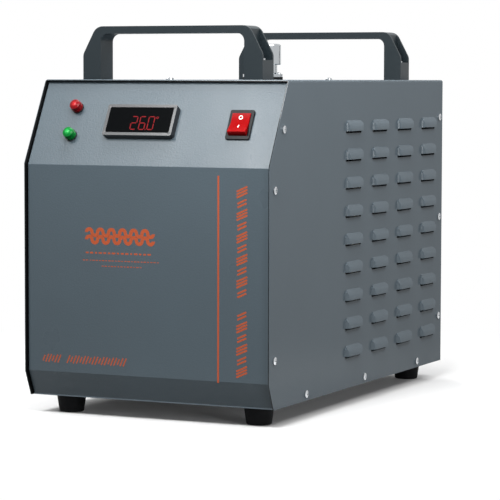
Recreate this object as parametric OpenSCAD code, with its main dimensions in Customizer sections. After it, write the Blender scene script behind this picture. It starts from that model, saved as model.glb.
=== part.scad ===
// Recirculating chiller: a louvred hood over a sheet steel chassis, with a sloped control face,
// two bridge handles, a filler on top and its fan, hose barbs and sockets at the back.
// X runs to the viewer's right, Y to the back and Z up. The origin is the middle of the footprint.

/* [Case] */
// Width over the hood's side sheets, without the louvres
case_w = 270; // [250:1:320]
// Depth of the hood from its front edge to its rear edge
case_d = 468; // [450:1:560]
// Height of the hood from its lower edge to its top
case_h = 317.5; // [305:0.5:380]
// Thickness of the sheet steel
sheet = 1.2; // [0.8:0.1:1.6]
// Outer radius of the hood's two long folds
fold_r = 2.5; // [2:0.1:5]
// Height of the sloped control face
slope_h = 83.5; // [80:0.5:100]
// How far the slope leans back
slope_back = 44; // [36:0.5:48]
// Height of the toe at the foot of the front
toe_h = 25; // [18:0.5:32]
// How far the toe draws back
toe_back = 11; // [7:0.5:14]
// How far the front panel lies inside the hood's front edge
panel_recess = 4; // [2:0.1:5]
// Gap on each side between the front panel and the hood
panel_gap = 0.8; // [0.3:0.1:0.9]
// Depth of the flanges folded back from the front and rear panels
flange_d = 14; // [13:0.5:16]
// How far the rear panel lies inside the hood's rear edge
rear_recess = 3; // [1:0.5:5]
// Height of the tray's side walls
tray_wall_h = 18; // [14:1:30]

/* [Louvres] */
// Number of louvre columns on each side
louvre_cols = 4; // [1:1:4]
// Number of louvres in a column
louvre_rows = 9; // [1:1:9]
// Length of one louvre
louvre_w = 45; // [30:0.5:55]
// Distance from one column to the next
louvre_col_pitch = 71.6; // [60:0.1:76]
// Distance from one louvre to the one below it
louvre_row_pitch = 29; // [22:0.5:30]
// How far a lip stands out from the side
louvre_out = 4.5; // [3:0.1:6]
// Radius of a louvre's curved back
louvre_r = 15.7; // [12:0.1:18]
// Radius of a louvre's round ends, seen from above
louvre_end_r = 8; // [5:0.1:9]
// Radius of a louvre's upper corners, seen from the side
louvre_corner_r = 8; // [5:0.5:9]
// Height of the slit that is left open under a louvre's lip
louvre_slit = 2; // [1:0.1:3]
// From the hood's top to the lip of the first row
louvre_top = 52.2; // [45:0.1:60]
// From the hood's rear edge to the last column
louvre_rear = 22.9; // [20:0.1:40]

/* [Screws] */
// Radius of a screw's shank
screw_r = 1.95; // [1.5:0.05:2]
// Radius of a screw's pan head
screw_head_r = 3.8; // [3.3:0.1:4]
// Height of a screw's pan head
screw_head_h = 2.5; // [2:0.1:3]
// Length of the hood's screws below their heads
side_screw_l = 7; // [5:0.5:8]
// From the hood's front and rear edges to the screws along them
screw_edge = 11; // [10:0.5:12]
// Height of the bottom row of screws over the hood's lower edge
screw_low = 7; // [6:0.5:9]
// From the front edge to the first screw of the bottom row
screw_bottom_first = 87; // [60:1:100]
// Spacing of the bottom row of screws
screw_bottom_pitch = 152; // [120:1:160]
// From the hood's top to the first screw of the rear row
screw_rear_first = 41.5; // [30:0.5:50]
// Spacing of the rear row of screws
screw_rear_pitch = 112; // [90:1:115]
// From the fold under the slope to the screw below it
screw_fold_drop = 22; // [15:1:40]
// Height of the lowest front screw over the toe
screw_toe_rise = 23; // [15:1:40]
// From the hood's top down to the screw beside the slope
screw_slope_drop = 47.5; // [35:0.5:55]
// From the slope's top edge to the screws in the hood's top
screw_top_in = 12; // [11:0.5:14]

/* [Handles] */
// Length of a handle over its legs
handle_span = 200; // [160:1:220]
// Depth of a handle, front to back
handle_d = 26; // [22:0.5:30]
// Height of a handle over the hood
handle_h = 53.5; // [46:0.5:60]
// Width of a leg
handle_leg = 20; // [18:0.5:24]
// Thickness of the grip
grip_t = 7.5; // [6:0.5:12]
// Height of the upright part of a leg's outer side
shoulder_h = 25.5; // [23:0.5:30]
// How far the shoulder above it leans in
shoulder_in = 15; // [10:0.5:18]
// Height of the screw seat in a leg
seat_h = 19.5; // [12:0.5:21]
// Thickness of the ribs on both sides of the seat
handle_rib = 2.4; // [1.5:0.1:4]
// From the slope's top edge to the front handle
handle_front_in = 15; // [13:0.5:30]
// From the rear edge to the rear handle
handle_rear_in = 15; // [14:0.5:30]

/* [Feet] */
// Height of a foot
foot_h = 19; // [15:0.5:24]
// Radius of a foot where it meets the tray
foot_top_r = 15.2; // [13:0.1:18]
// Radius of a foot at the floor
foot_low_r = 12.6; // [11:0.1:13]
// From the case's sides to the middle of the feet
foot_in = 30; // [25:0.5:45]
// From the hood's front edge to the front feet
foot_front_in = 42; // [36:1:60]
// From the hood's rear edge to the rear feet
foot_rear_in = 30; // [26:1:60]

/* [Control face] */
// Width of the display's bezel where it meets the panel
display_w = 78; // [72:0.5:84]
// Height of the display's bezel
display_h = 35.5; // [32:0.5:40]
// How far the bezel stands out
display_t = 6.5; // [5:0.5:12]
// How much the bezel's sides draw in, each side
display_draft = 0.8; // [0.5:0.1:2.5]
// Width of the display's window
window_w = 70; // [60:0.5:70.5]
// Height of the display's window
window_h = 27.4; // [22:0.1:28]
// Middle of the display, sideways
display_x = -15.5; // [-25:0.5:10]
// Middle of the display, up the slope from the fold
display_v = 48.5; // [40:0.1:52]
// Width of the switch's frame
switch_w = 25.5; // [24:0.5:30]
// Height of the switch's frame
switch_h = 31.5; // [30:0.5:36]
// Thickness of the switch's frame
switch_t = 2; // [1.5:0.1:3]
// From the case's right side to the middle of the switch
switch_in = 42.8; // [35:0.1:65]
// Middle of the switch, up the slope from the fold
switch_v = 46.9; // [40:0.1:52]
// Width of the rocker
rocker_w = 19.3; // [15:0.1:20]
// Radius of the rocker about its pin
rocker_r = 12.1; // [10:0.1:12.4]
// Slant of each half of the rocker, and its tilt either way
rocker_tilt = 10; // [6:0.5:12]
// From the case's left side to the middle of the lamps
lamp_in = 43.2; // [30:0.1:60]
// Height of the red lamp up the slope
red_lamp_v = 64.2; // [58:0.1:70]
// Height of the green lamp up the slope
green_lamp_v = 33.4; // [26:0.1:40]
// Radius of a lamp's lens
lens_r = 5.4; // [4.5:0.1:6]
// How far a lamp stands out
lamp_t = 10; // [7:0.5:12]

/* [Filler] */
// From the hood's front edge to the middle of the filler
filler_y = 276.5; // [240:0.5:300]
// Radius of the filler's flange
filler_flange_r = 21.5; // [21:0.5:28]
// Thickness of the filler's flange
filler_flange_t = 3.1; // [2:0.1:4]
// Thickness of the gasket below it
gasket_t = 3; // [1:0.1:4]
// Height of the neck over the flange
neck_h = 12; // [10:0.5:16]
// Outer radius of the neck
neck_r = 15.5; // [14:0.1:16]
// Wall of the neck
neck_wall = 1.5; // [1:0.1:2]
// Outer radius of the cap
cap_r = 19.5; // [19:0.1:22]
// Height of the cap's grip
cap_h = 22.5; // [18:0.5:26]
// Depth of the strainer's basket
strainer_h = 46; // [30:1:60]

/* [Back] */
// How far the hose barbs reach out from the rear panel
barb_reach = 25; // [20:1:32]
// From the hood's top to the fan's middle
fan_drop = 92; // [80:1:95]
// Side of the fan's square frame
fan_size = 120; // [110:1:120]
// Depth of the fan's frame
fan_d = 25; // [25:1:38]
// Radius of the fan's duct
fan_duct_r = 57; // [48:0.5:57.5]
// Radius of the fan's hub
fan_hub_r = 20; // [18:0.5:24]
// Number of blades
fan_blades = 7; // [3:1:7]
// Slant of a blade against the fan's plane
fan_pitch = 38; // [30:1:42]
// Distance between the fan's screws
fan_hole_pitch = 105; // [98:0.5:105]
// Height of the two hose fittings over the tray
fitting_h = 130; // [125:1:132]
// Distance between the two hose fittings
fitting_span = 60; // [50:1:64]
// Radius of the bore of the hose fittings
fitting_bore_r = 3.5; // [2.5:0.1:4]
// From the case's left side to the middle of the level gauge
gauge_in = 43; // [35:1:50]
// Length of the level gauge
gauge_l = 120; // [80:1:130]
// Height of the gauge's lower end over the tray
gauge_low = 30; // [25:1:50]
// From the case's right side to the middle of the power inlet
inlet_in = 50; // [40:1:55]
// Height of the power inlet over the tray
inlet_h = 118; // [105:1:130]
// Height of the alarm socket over the tray
alarm_h = 62; // [50:1:75]
// Height of the drain over the tray
drain_h = 24; // [20:1:40]

/* [Inside] */
// Free lane on each side of the water tank
tank_lane = 30; // [28:1:36]
// From the hood's front edge to the tank
tank_front = 175; // [165:1:180]
// Length of the tank, front to back
tank_l = 165; // [155:1:180]
// Height of the tank
tank_h = 222; // [190:1:224]
// Wall of the tank
tank_wall = 2.5; // [2:0.1:4]
// Depth of the heat exchanger
core_d = 36; // [30:1:38]
// Side of the heat exchanger's square frame
core_size = 146; // [130:1:150]
// Number of fins
core_fins = 22; // [4:1:26]
// From the hood's front edge to the pump's shaft
pump_y = 105; // [98:1:112]
// Radius of the pump's motor
motor_r = 31; // [26:0.5:34]
// Length of the pump's motor
motor_l = 70; // [60:1:76]
// Radius of the pump's volute
volute_r = 36; // [34:0.5:38]
// Width of the pump's volute
volute_w = 26; // [24:0.5:30]
// Outer radius of the hoses
hose_r = 7.5; // [6.8:0.1:8]
// Radius of the bends in the hoses
hose_bend = 18; // [14:1:20]

/* [Hidden] */
$fn = 48;

// Sliding clearance between pieces that lie inside one another
fit_gap = 0.2;
// Running clearance of a pin in its bore
run_gap = 0.05;
// Overrun of every cut past the face it opens
over = 1;
// Radius of a clearance hole for a screw
screw_hole_r = screw_r + 0.3;
// Radius of a threaded hole for a screw
thread_hole_r = screw_r + run_gap;

switch_x = case_w / 2 - switch_in;
lamp_x = lamp_in - case_w / 2;
foot_span_x = case_w - 2 * foot_in;
gauge_x = gauge_in - case_w / 2;
inlet_x = case_w / 2 - inlet_in;

rear_reach = barb_reach - rear_recess;
y_front = -(case_d + rear_reach) / 2;
y_rear = y_front + case_d;
z_base = foot_h;
z_top = foot_h + case_h;
z_fold = z_top - slope_h;
z_toe = z_base + toe_h;
z_floor = z_base + sheet;
slope_angle = atan2(slope_back, slope_h);
// Width over the flanges of the front panel, and over those of the tray and the rear panel
front_w = case_w - 2 * (sheet + panel_gap);
chassis_w = case_w - 2 * (sheet + fit_gap);
y_back_face = y_rear - rear_recess;
y_back_inner = y_back_face - sheet;

steel_grey = [0.36, 0.39, 0.41];
front_grey = [0.42, 0.46, 0.49];
moulded_black = [0.13, 0.14, 0.15];
rubber_black = [0.07, 0.07, 0.07];
nickel = [0.75, 0.74, 0.7];
bright_chrome = [0.82, 0.83, 0.84];
signal_red = [0.75, 0.08, 0.06];
signal_green = [0.1, 0.5, 0.2];
clear_plastic = [0.8, 0.86, 0.88];
tank_white = [0.88, 0.88, 0.84];
brass_yellow = [0.75, 0.6, 0.3];
fin_silver = [0.7, 0.72, 0.74];

// Distance behind the hood's front edge, as a place along Y
function behind(d) = y_front + d;

// Inward normal of the edge that starts at point i of a counterclockwise outline
function edge_normal(p, i) =
    let (d = p[(i + 1) % len(p)] - p[i])
    [-d[1], d[0]] / norm(d);

// Corner i of an outline once each edge has moved inward by its own inset
function inset_corner(p, insets, i) =
    let (
        j = (i + len(p) - 1) % len(p),
        a = edge_normal(p, j),
        b = edge_normal(p, i),
        det = a[0] * b[1] - a[1] * b[0]
    )
    p[i] + [insets[j] * b[1] - insets[i] * a[1], a[0] * insets[i] - b[0] * insets[j]] / det;

// An outline whose edges have each moved inward by their own inset
function inset_outline(p, insets) = [for (i = [0 : len(p) - 1]) inset_corner(p, insets, i)];

// Points of the arc that rounds corner b between its neighbours a and c
function corner_arc(a, b, c, r, steps = 6) =
    r == 0 ? [b] :
    let (
        u = (a - b) / norm(a - b),
        w = (c - b) / norm(c - b),
        half = acos(u * w) / 2,
        centre = b + (u + w) / norm(u + w) * r / sin(half),
        s = b + u * r / tan(half) - centre,
        e = b + w * r / tan(half) - centre,
        a0 = atan2(s[1], s[0]),
        a1 = atan2(e[1], e[0]),
        turn = a1 - a0 > 180 ? a1 - a0 - 360 : a1 - a0 < -180 ? a1 - a0 + 360 : a1 - a0
    )
    [for (i = [0 : steps]) centre + r * [cos(a0 + turn * i / steps), sin(a0 + turn * i / steps)]];

// An outline with each corner rounded by its own radius
function rounded(p, r) = [
    for (i = [0 : len(p) - 1])
        each corner_arc(p[(i + len(p) - 1) % len(p)], p[i], p[(i + 1) % len(p)], r[i])
];

// Side view of the hood, as [y, z], from the slope's top edge round by the front
hood_outline = [
    [behind(slope_back), z_top],
    [y_front, z_fold],
    [y_front, z_toe],
    [behind(toe_back), z_base],
    [y_rear, z_base],
    [y_rear, z_top]
];

// Side view of the front panel: t is how deep inside its outer face
function panel_outline(t) = inset_outline(hood_outline,
    [panel_recess + t, panel_recess + t, panel_recess + t, sheet + t, 0, sheet + fit_gap + t]);

// What the front panel's flanges leave free behind them
flange_outline = inset_outline(hood_outline,
    [panel_recess + flange_d, panel_recess + flange_d, panel_recess + flange_d, -over, -over, -over]);

// Points along the hood's front edges, moved in to where the screws sit
edge_line = inset_outline(hood_outline, [screw_edge, screw_edge, screw_edge, 0, 0, 0]);
function on_edge(i, z) =
    let (a = edge_line[i], b = edge_line[i + 1])
    [a[0] + (b[0] - a[0]) * (z - a[1]) / (b[1] - a[1]), z];

front_screws = [
    on_edge(0, z_top - screw_slope_drop),
    on_edge(1, z_fold - screw_fold_drop),
    on_edge(1, z_toe + screw_toe_rise)
];
tray_screws = [for (i = [0 : 2]) [behind(screw_bottom_first + i * screw_bottom_pitch), z_base + screw_low]];
rear_screws = [for (i = [0 : 2]) [y_rear - screw_edge, z_top - screw_rear_first - i * screw_rear_pitch]];
top_screw_spots = [behind(slope_back + screw_top_in), y_rear - screw_edge];

handle_ys = [behind(slope_back + handle_front_in) + handle_d / 2, y_rear - handle_rear_in - handle_d / 2];
handle_screw_x = handle_span / 2 - 7;
foot_ys = [behind(foot_front_in), y_rear - foot_rear_in];
filler_screw_r = (neck_r + filler_flange_r) / 2;
filler_thread_r = 1.45;

z_fan = z_top - fan_drop;
y_fan = y_back_inner - fan_d;
y_core = y_fan - core_d;
z_fitting = z_floor + fitting_h;
z_tank_top = z_floor + tank_h;
z_flange = z_top + gasket_t;
z_neck = z_flange + filler_flange_t + neck_h;

// A side view, as [y, z], drawn out along X
module along_x(x0, x1) {
    translate([x0, 0, 0]) rotate([90, 0, 90]) linear_extrude(x1 - x0) children();
}

// A front view, as [x, z], drawn out along Y
module along_y(y0, y1) {
    translate([0, y1, 0]) rotate([90, 0, 0]) linear_extrude(y1 - y0) children();
}

// A round bar along X, Y or Z that starts at a place
module bar_x(at, r, l) translate(at) rotate([0, 90, 0]) cylinder(r = r, h = l);
module bar_y(at, r, l) translate(at) rotate([-90, 0, 0]) cylinder(r = r, h = l);
module bar_z(at, r, l) translate(at) cylinder(r = r, h = l);

// Children set on the front panel's sloped face, with Z out of it
module on_slope(x, v) {
    translate([0, y_front, z_fold]) rotate([90 - slope_angle, 0, 0]) translate([x, v, -panel_recess]) children();
}

// A flat rectangle about its middle, with round corners
module round_rect(w, h, r) {
    square([w - 2 * r, h], center = true);
    square([w, h - 2 * r], center = true);
    for (x = [-1, 1], y = [-1, 1])
        translate([x * (w / 2 - r), y * (h / 2 - r)]) circle(r);
}

// A pan-head screw that points down, with its head's underside at the origin
module pan_screw(l, head_r = screw_head_r, head_h = screw_head_h, r = screw_r) {
    dome_drop = head_h * 0.4;
    dome_r = (head_r * head_r + dome_drop * dome_drop) / (2 * dome_drop);
    slot_l = head_r * 1.2;
    slot_w = head_r * 0.26;
    difference() {
        union() {
            rotate_extrude()
                intersection() {
                    translate([0, head_h - dome_r]) circle(dome_r, $fn = 96);
                    square([head_r, head_h]);
                }
            bar_z([0, 0, -l], r, l);
        }
        for (a = [0, 90])
            rotate(a) translate([-slot_l / 2, -slot_w / 2, head_h / 2]) cube([slot_l, slot_w, head_h]);
    }
}

// Screws on the hood's right side at places [y, z]; mirrored for the left
module side_row(places, l) {
    for (p = places, s = [0, 1])
        mirror([s, 0, 0]) translate([case_w / 2, p[0], p[1]]) rotate([0, 90, 0]) pan_screw(l);
}

// Holes through both sides at places [y, z]
module side_holes(places, r) {
    for (p = places)
        bar_x([-case_w, p[0], p[1]], r, 2 * case_w);
}

// Section of the hood across its length: t is how deep inside the outer face
module hood_section(t, low) {
    w = case_w - 2 * t;
    r = fold_r - t;
    translate([-w / 2, low]) square([w, z_top - t - r - low]);
    translate([-w / 2 + r, low]) square([w - 2 * r, z_top - t - low]);
    for (s = [-1, 1])
        translate([s * (w / 2 - r), z_top - t - r]) circle(r);
}

// Louvres of the right side: t is how deep inside their outer face, in how far they reach into the sheet
module louvre_grid(t, in, drop) {
    x_in = case_w / 2 - in;
    reach = in + louvre_out + over;
    rise = sqrt(louvre_r * louvre_r - (louvre_r - louvre_out) * (louvre_r - louvre_out));
    y_mid = y_rear - louvre_rear - louvre_w / 2;
    intersection() {
        along_y(y_front, y_rear)
            for (i = [0 : louvre_rows - 1])
                translate([0, z_top - louvre_top - i * louvre_row_pitch])
                    intersection() {
                        translate([case_w / 2 + louvre_out - louvre_r, 0]) circle(louvre_r - t, $fn = 96);
                        translate([x_in, -drop]) square([reach, louvre_r]);
                    }
        translate([0, 0, z_base])
            linear_extrude(case_h)
                for (i = [0 : louvre_cols - 1])
                    translate([case_w / 2 + louvre_out - louvre_end_r, y_mid - i * louvre_col_pitch])
                        intersection() {
                            union() {
                                square([2 * (louvre_end_r - t), louvre_w - 2 * louvre_end_r], center = true);
                                for (s = [-1, 1])
                                    translate([0, s * (louvre_w / 2 - louvre_end_r)]) circle(louvre_end_r - t);
                            }
                            translate([louvre_end_r - louvre_out - in, -louvre_w / 2]) square([reach, louvre_w]);
                        }
        along_x(x_in - over, x_in + reach)
            for (i = [0 : louvre_rows - 1], j = [0 : louvre_cols - 1])
                translate([y_mid - j * louvre_col_pitch, z_top - louvre_top - i * louvre_row_pitch])
                    round_rect(louvre_w - 2 * t, 2 * (rise - t), louvre_corner_r - t);
    }
}

module hood() {
    color(steel_grey)
        difference() {
            union() {
                intersection() {
                    along_x(-case_w / 2, case_w / 2) polygon(hood_outline);
                    along_y(y_front - over, y_rear + over)
                        difference() {
                            hood_section(0, z_base - over);
                            hood_section(sheet, z_base - 2 * over);
                        }
                }
                for (s = [0, 1])
                    mirror([s, 0, 0]) louvre_grid(0, sheet / 2, 0);
            }
            for (s = [0, 1])
                mirror([s, 0, 0]) louvre_grid(sheet, sheet + over, louvre_slit);
            side_holes(concat(front_screws, tray_screws, rear_screws), screw_hole_r);
            for (y = top_screw_spots)
                bar_z([0, y, z_top - sheet - over], screw_hole_r, sheet + 2 * over);
            for (y = handle_ys, s = [-1, 1])
                bar_z([s * handle_screw_x, y, z_top - sheet - over], screw_hole_r, sheet + 2 * over);
            bar_z([0, behind(filler_y), z_top - sheet - over], neck_r + fit_gap, sheet + 2 * over);
            for (a = [0 : 120 : 240])
                translate([0, behind(filler_y), 0]) rotate(a)
                    bar_z([filler_screw_r, 0, z_top - sheet - over], filler_thread_r + run_gap, sheet + 2 * over);
        }
}

module front_panel() {
    color(front_grey)
        difference() {
            along_x(-front_w / 2, front_w / 2) polygon(panel_outline(0));
            along_x(-front_w / 2 + sheet, front_w / 2 - sheet) polygon(panel_outline(sheet));
            along_x(-front_w, front_w) polygon(flange_outline);
            side_holes(front_screws, thread_hole_r);
            bar_z([0, top_screw_spots[0], z_top - flange_d / 2], thread_hole_r, flange_d);
            on_slope(display_x, display_v) translate([0, 0, -2 * sheet]) linear_extrude(4 * sheet)
                square([display_w - 6 + 2 * fit_gap, display_h - 6 + 2 * fit_gap], center = true);
            on_slope(switch_x, switch_v) translate([0, 0, -2 * sheet]) linear_extrude(4 * sheet)
                square([switch_w - 3 + 2 * fit_gap, switch_h - 4 + 2 * fit_gap], center = true);
            for (v = [red_lamp_v, green_lamp_v])
                on_slope(lamp_x, v) bar_z([0, 0, -2 * sheet], lens_r - 0.5 + fit_gap, 4 * sheet);
        }
}

module base_tray() {
    y0 = panel_outline(0)[3][0];
    wall_y0 = behind(screw_bottom_first) - 2 * flange_d;
    wall_y1 = y_back_inner - flange_d - over;
    color(steel_grey)
        difference() {
            union() {
                translate([-chassis_w / 2, y0, z_base]) cube([chassis_w, y_back_face - y0, sheet]);
                for (x = [-chassis_w / 2, chassis_w / 2 - sheet])
                    translate([x, wall_y0, z_base]) cube([sheet, wall_y1 - wall_y0, tray_wall_h]);
            }
            side_holes(tray_screws, thread_hole_r);
            for (x = [-1, 1], y = foot_ys)
                bar_z([x * foot_span_x / 2, y, z_base - over], thread_hole_r, sheet + 2 * over);
        }
}

module rear_panel() {
    z1 = z_top - sheet - fit_gap;
    color(steel_grey)
        difference() {
            along_y(y_back_face - flange_d, y_back_face) hood_section(sheet + fit_gap, z_floor);
            translate([-chassis_w / 2 + sheet, y_back_face - flange_d - over, z_floor + sheet])
                cube([chassis_w - 2 * sheet, flange_d + over - sheet, z1 - z_floor - 2 * sheet]);
            side_holes(rear_screws, thread_hole_r);
            bar_z([0, top_screw_spots[1], z1 - 2 * sheet], thread_hole_r, 4 * sheet);
            bar_y([0, y_back_inner - over, z_fan], fan_duct_r, sheet + 2 * over);
            for (x = [-1, 1], z = [-1, 1])
                bar_y([x * fan_hole_pitch / 2, y_back_inner - over, z_fan + z * fan_hole_pitch / 2],
                    screw_hole_r, sheet + 2 * over);
            for (s = [-1, 1])
                bar_y([s * fitting_span / 2, y_back_inner - over, z_fitting], fitting_thread_r + fit_gap,
                    sheet + 2 * over);
            bar_y([0, y_back_inner - over, z_floor + drain_h], fitting_thread_r + fit_gap, sheet + 2 * over);
            for (z = gauge_ports)
                bar_y([gauge_x, y_back_inner - over, z], gauge_port_r + fit_gap, sheet + 2 * over);
            along_y(y_back_inner - over, y_back_face + over)
                translate([inlet_x, z_floor + inlet_h])
                    square([inlet_body_w + 2 * fit_gap, inlet_body_h + 2 * fit_gap], center = true);
            bar_y([inlet_x, y_back_inner - over, z_floor + alarm_h], alarm_r + fit_gap, sheet + 2 * over);
        }
}

module side_screws() {
    color(nickel) side_row(concat(front_screws, tray_screws, rear_screws), side_screw_l);
}

module top_screws() {
    color(nickel)
        for (y = top_screw_spots)
            translate([0, y, z_top]) pan_screw(side_screw_l);
}

// A bridge handle about its middle, standing on z = 0
module bridge_handle() {
    h = handle_span / 2;
    inner = h - handle_leg;
    color(moulded_black)
        difference() {
            along_y(-handle_d / 2, handle_d / 2)
                polygon(rounded(
                    [[-h, 0], [-h, shoulder_h], [-h + shoulder_in, handle_h], [h - shoulder_in, handle_h],
                        [h, shoulder_h], [h, 0], [inner, 0], [inner, handle_h - grip_t],
                        [-inner, handle_h - grip_t], [-inner, 0]],
                    [0, 10, 12, 12, 10, 0, 0, 8, 8, 0]));
            for (s = [0, 1])
                mirror([s, 0, 0]) {
                    translate([h - shoulder_in + over, -handle_d / 2 + handle_rib, seat_h])
                        cube([handle_leg, handle_d - 2 * handle_rib, handle_h]);
                    bar_z([handle_screw_x, 0, -over], screw_hole_r, handle_h);
                }
        }
}

module front_handle() translate([0, handle_ys[0], z_top]) bridge_handle();
module rear_handle() translate([0, handle_ys[1], z_top]) bridge_handle();

handle_nut_h = 3.2;

module handle_screws() {
    color(nickel)
        for (y = handle_ys, s = [-1, 1])
            translate([s * handle_screw_x, y, z_top + seat_h]) pan_screw(seat_h + sheet + handle_nut_h + over);
}

module handle_nuts() {
    color(nickel)
        for (y = handle_ys, s = [-1, 1])
            translate([s * handle_screw_x, y, z_top - sheet - handle_nut_h])
                difference() {
                    cylinder(r = 4, h = handle_nut_h, $fn = 6);
                    bar_z([0, 0, -over], thread_hole_r, handle_nut_h + 2 * over);
                }
}

foot_bore_r = screw_head_r + 1;
foot_bore_h = foot_h * 0.6;

// A rubber foot under the tray; its bore holds the screw's head
module rubber_foot(x, y) {
    color(rubber_black)
        translate([x, y, 0])
            difference() {
                rotate_extrude()
                    polygon([[0, 0], [foot_low_r - 1, 0], [foot_low_r, 1], [foot_top_r, foot_h], [0, foot_h]]);
                bar_z([0, 0, -over], foot_bore_r, foot_bore_h + over);
                bar_z([0, 0, 0], screw_hole_r, foot_h + over);
            }
}

module foot_front_left() rubber_foot(-foot_span_x / 2, foot_ys[0]);
module foot_front_right() rubber_foot(foot_span_x / 2, foot_ys[0]);
module foot_rear_left() rubber_foot(-foot_span_x / 2, foot_ys[1]);
module foot_rear_right() rubber_foot(foot_span_x / 2, foot_ys[1]);

module foot_screws() {
    color(nickel)
        for (x = [-1, 1], y = foot_ys)
            translate([x * foot_span_x / 2, y, foot_bore_h]) rotate([180, 0, 0])
                pan_screw(foot_h - foot_bore_h + sheet + 3);
}

window_t = 1.2;

bezel_corner_r = 4.5;

module display_bezel() {
    w = display_w / 2;
    h = display_h / 2;
    color(moulded_black)
        on_slope(display_x, display_v)
            difference() {
                union() {
                    intersection() {
                        translate([0, h + over, 0]) rotate([90, 0, 0]) linear_extrude(2 * h + 2 * over)
                            polygon([[-w, 0], [w, 0], [w - display_draft, display_t],
                                [-w + display_draft, display_t]]);
                        translate([-w - over, 0, 0]) rotate([90, 0, 90]) linear_extrude(2 * w + 2 * over)
                            polygon([[-h, 0], [h, 0], [h - display_draft, display_t],
                                [-h + display_draft, display_t]]);
                        linear_extrude(display_t) round_rect(display_w, display_h, bezel_corner_r);
                    }
                    translate([0, 0, -22]) linear_extrude(22)
                        square([display_w - 6, display_h - 6], center = true);
                }
                translate([0, 0, display_t - window_t - fit_gap]) linear_extrude(window_t + over)
                    round_rect(window_w + 2 * fit_gap, window_h + 2 * fit_gap, 1.5);
            }
}

module display_window() {
    color([0.03, 0.03, 0.035])
        on_slope(display_x, display_v)
            translate([0, 0, display_t - window_t - fit_gap]) linear_extrude(window_t)
                round_rect(window_w, window_h, 1.3);
}

// The rocker's well is this deep below the panel, and its pins are this thick
switch_well = 11;
rocker_pin_r = 1.2;
rocker_pin_l = 1;

module switch_frame() {
    color(moulded_black)
        on_slope(switch_x, switch_v)
            difference() {
                union() {
                    linear_extrude(switch_t) round_rect(switch_w, switch_h, 1.5);
                    translate([0, 0, -18]) linear_extrude(18)
                        square([switch_w - 3, switch_h - 4], center = true);
                    for (y = [-8, 0, 8])
                        translate([-3, y - 0.4, -26]) cube([6, 0.8, 9]);
                }
                translate([0, 0, -switch_well]) linear_extrude(switch_well + switch_t + over)
                    square([rocker_w + 2 * fit_gap, 2 * (rocker_r + 0.1)], center = true);
                bar_x([-rocker_w / 2 - rocker_pin_l - fit_gap, 0, 0], rocker_pin_r + run_gap,
                    rocker_w + 2 * (rocker_pin_l + fit_gap));
            }
}

module rocker_button() {
    valley = 3;
    rise = rocker_r * tan(rocker_tilt);
    color(signal_red)
        on_slope(switch_x, switch_v) rotate([-rocker_tilt, 0, 0]) {
            translate([-rocker_w / 2, 0, 0]) rotate([90, 0, 90]) linear_extrude(rocker_w)
                intersection() {
                    circle(rocker_r, $fn = 96);
                    polygon([[-rocker_r, -rocker_r / 2], [rocker_r, -rocker_r / 2], [rocker_r, valley + rise],
                        [0, valley], [-rocker_r, valley + rise]]);
                }
            bar_x([-rocker_w / 2 - rocker_pin_l, 0, 0], rocker_pin_r, rocker_w + 2 * rocker_pin_l);
        }
}

lamp_ring_t = 1.4;
lamp_stem_h = 4;
// A lens stands on a foot that is this much wider and this high
lens_foot_w = 0.5;
lens_foot_h = 3.2;

// A lamp's holder: a ring outside the panel, a barrel through it and a nut behind it
module lamp_holder(v) {
    barrel_r = lens_r - 0.5;
    color(moulded_black)
        on_slope(lamp_x, v)
            difference() {
                union() {
                    cylinder(r = lens_r + lens_foot_w + 0.5, h = lamp_ring_t);
                    bar_z([0, 0, -16], barrel_r, 16);
                    translate([0, 0, -sheet - 3]) cylinder(r = lens_r + 2, h = 3, $fn = 6);
                }
                bar_z([0, 0, lamp_ring_t - lamp_stem_h], barrel_r - 1, lamp_stem_h + over);
            }
}

module lamp_lens(v, tint) {
    dome = 1.6;
    dome_r = (lens_r * lens_r + dome * dome) / (2 * dome);
    color(tint)
        on_slope(lamp_x, v)
            rotate_extrude() {
                translate([0, lamp_ring_t - lamp_stem_h]) square([lens_r - 1.5 - run_gap, lamp_stem_h + over]);
                translate([0, lamp_ring_t]) square([lens_r + lens_foot_w, lens_foot_h]);
                translate([0, lamp_ring_t]) square([lens_r, lamp_t - dome - lamp_ring_t]);
                intersection() {
                    translate([0, lamp_t - dome_r]) circle(dome_r, $fn = 96);
                    translate([0, lamp_t - dome - over]) square([lens_r, dome + over]);
                }
            }
}

module red_lamp_holder() lamp_holder(red_lamp_v);
module green_lamp_holder() lamp_holder(green_lamp_v);
module red_lamp_lens() lamp_lens(red_lamp_v, signal_red);
module green_lamp_lens() lamp_lens(green_lamp_v, signal_green);

seal_t = 1.6;
strainer_rim_t = 1;

// Everything about the filler's own axis
module at_filler() translate([0, behind(filler_y), 0]) children();

module filler_neck() {
    z_low = z_tank_top - 8;
    color(bright_chrome)
        at_filler()
            difference() {
                union() {
                    bar_z([0, 0, z_flange], filler_flange_r, filler_flange_t);
                    bar_z([0, 0, z_low], neck_r, z_neck - z_low);
                }
                bar_z([0, 0, z_low - over], neck_r - neck_wall, z_neck - z_low + 2 * over);
                for (a = [0 : 120 : 240])
                    rotate(a) bar_z([filler_screw_r, 0, z_flange - over], filler_thread_r + fit_gap,
                        filler_flange_t + 2 * over);
            }
}

module filler_gasket() {
    color(rubber_black)
        at_filler()
            difference() {
                bar_z([0, 0, z_top], filler_flange_r, gasket_t);
                bar_z([0, 0, z_top - over], neck_r + fit_gap, gasket_t + 2 * over);
                for (a = [0 : 120 : 240])
                    rotate(a) bar_z([filler_screw_r, 0, z_top - over], filler_thread_r + fit_gap,
                        gasket_t + 2 * over);
            }
}

module filler_screws() {
    color(nickel)
        at_filler()
            for (a = [0 : 120 : 240])
                rotate(a) translate([filler_screw_r, 0, z_flange + filler_flange_t])
                    pan_screw(filler_flange_t + gasket_t + sheet + 3, 2.6, 1.8, filler_thread_r);
}

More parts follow.
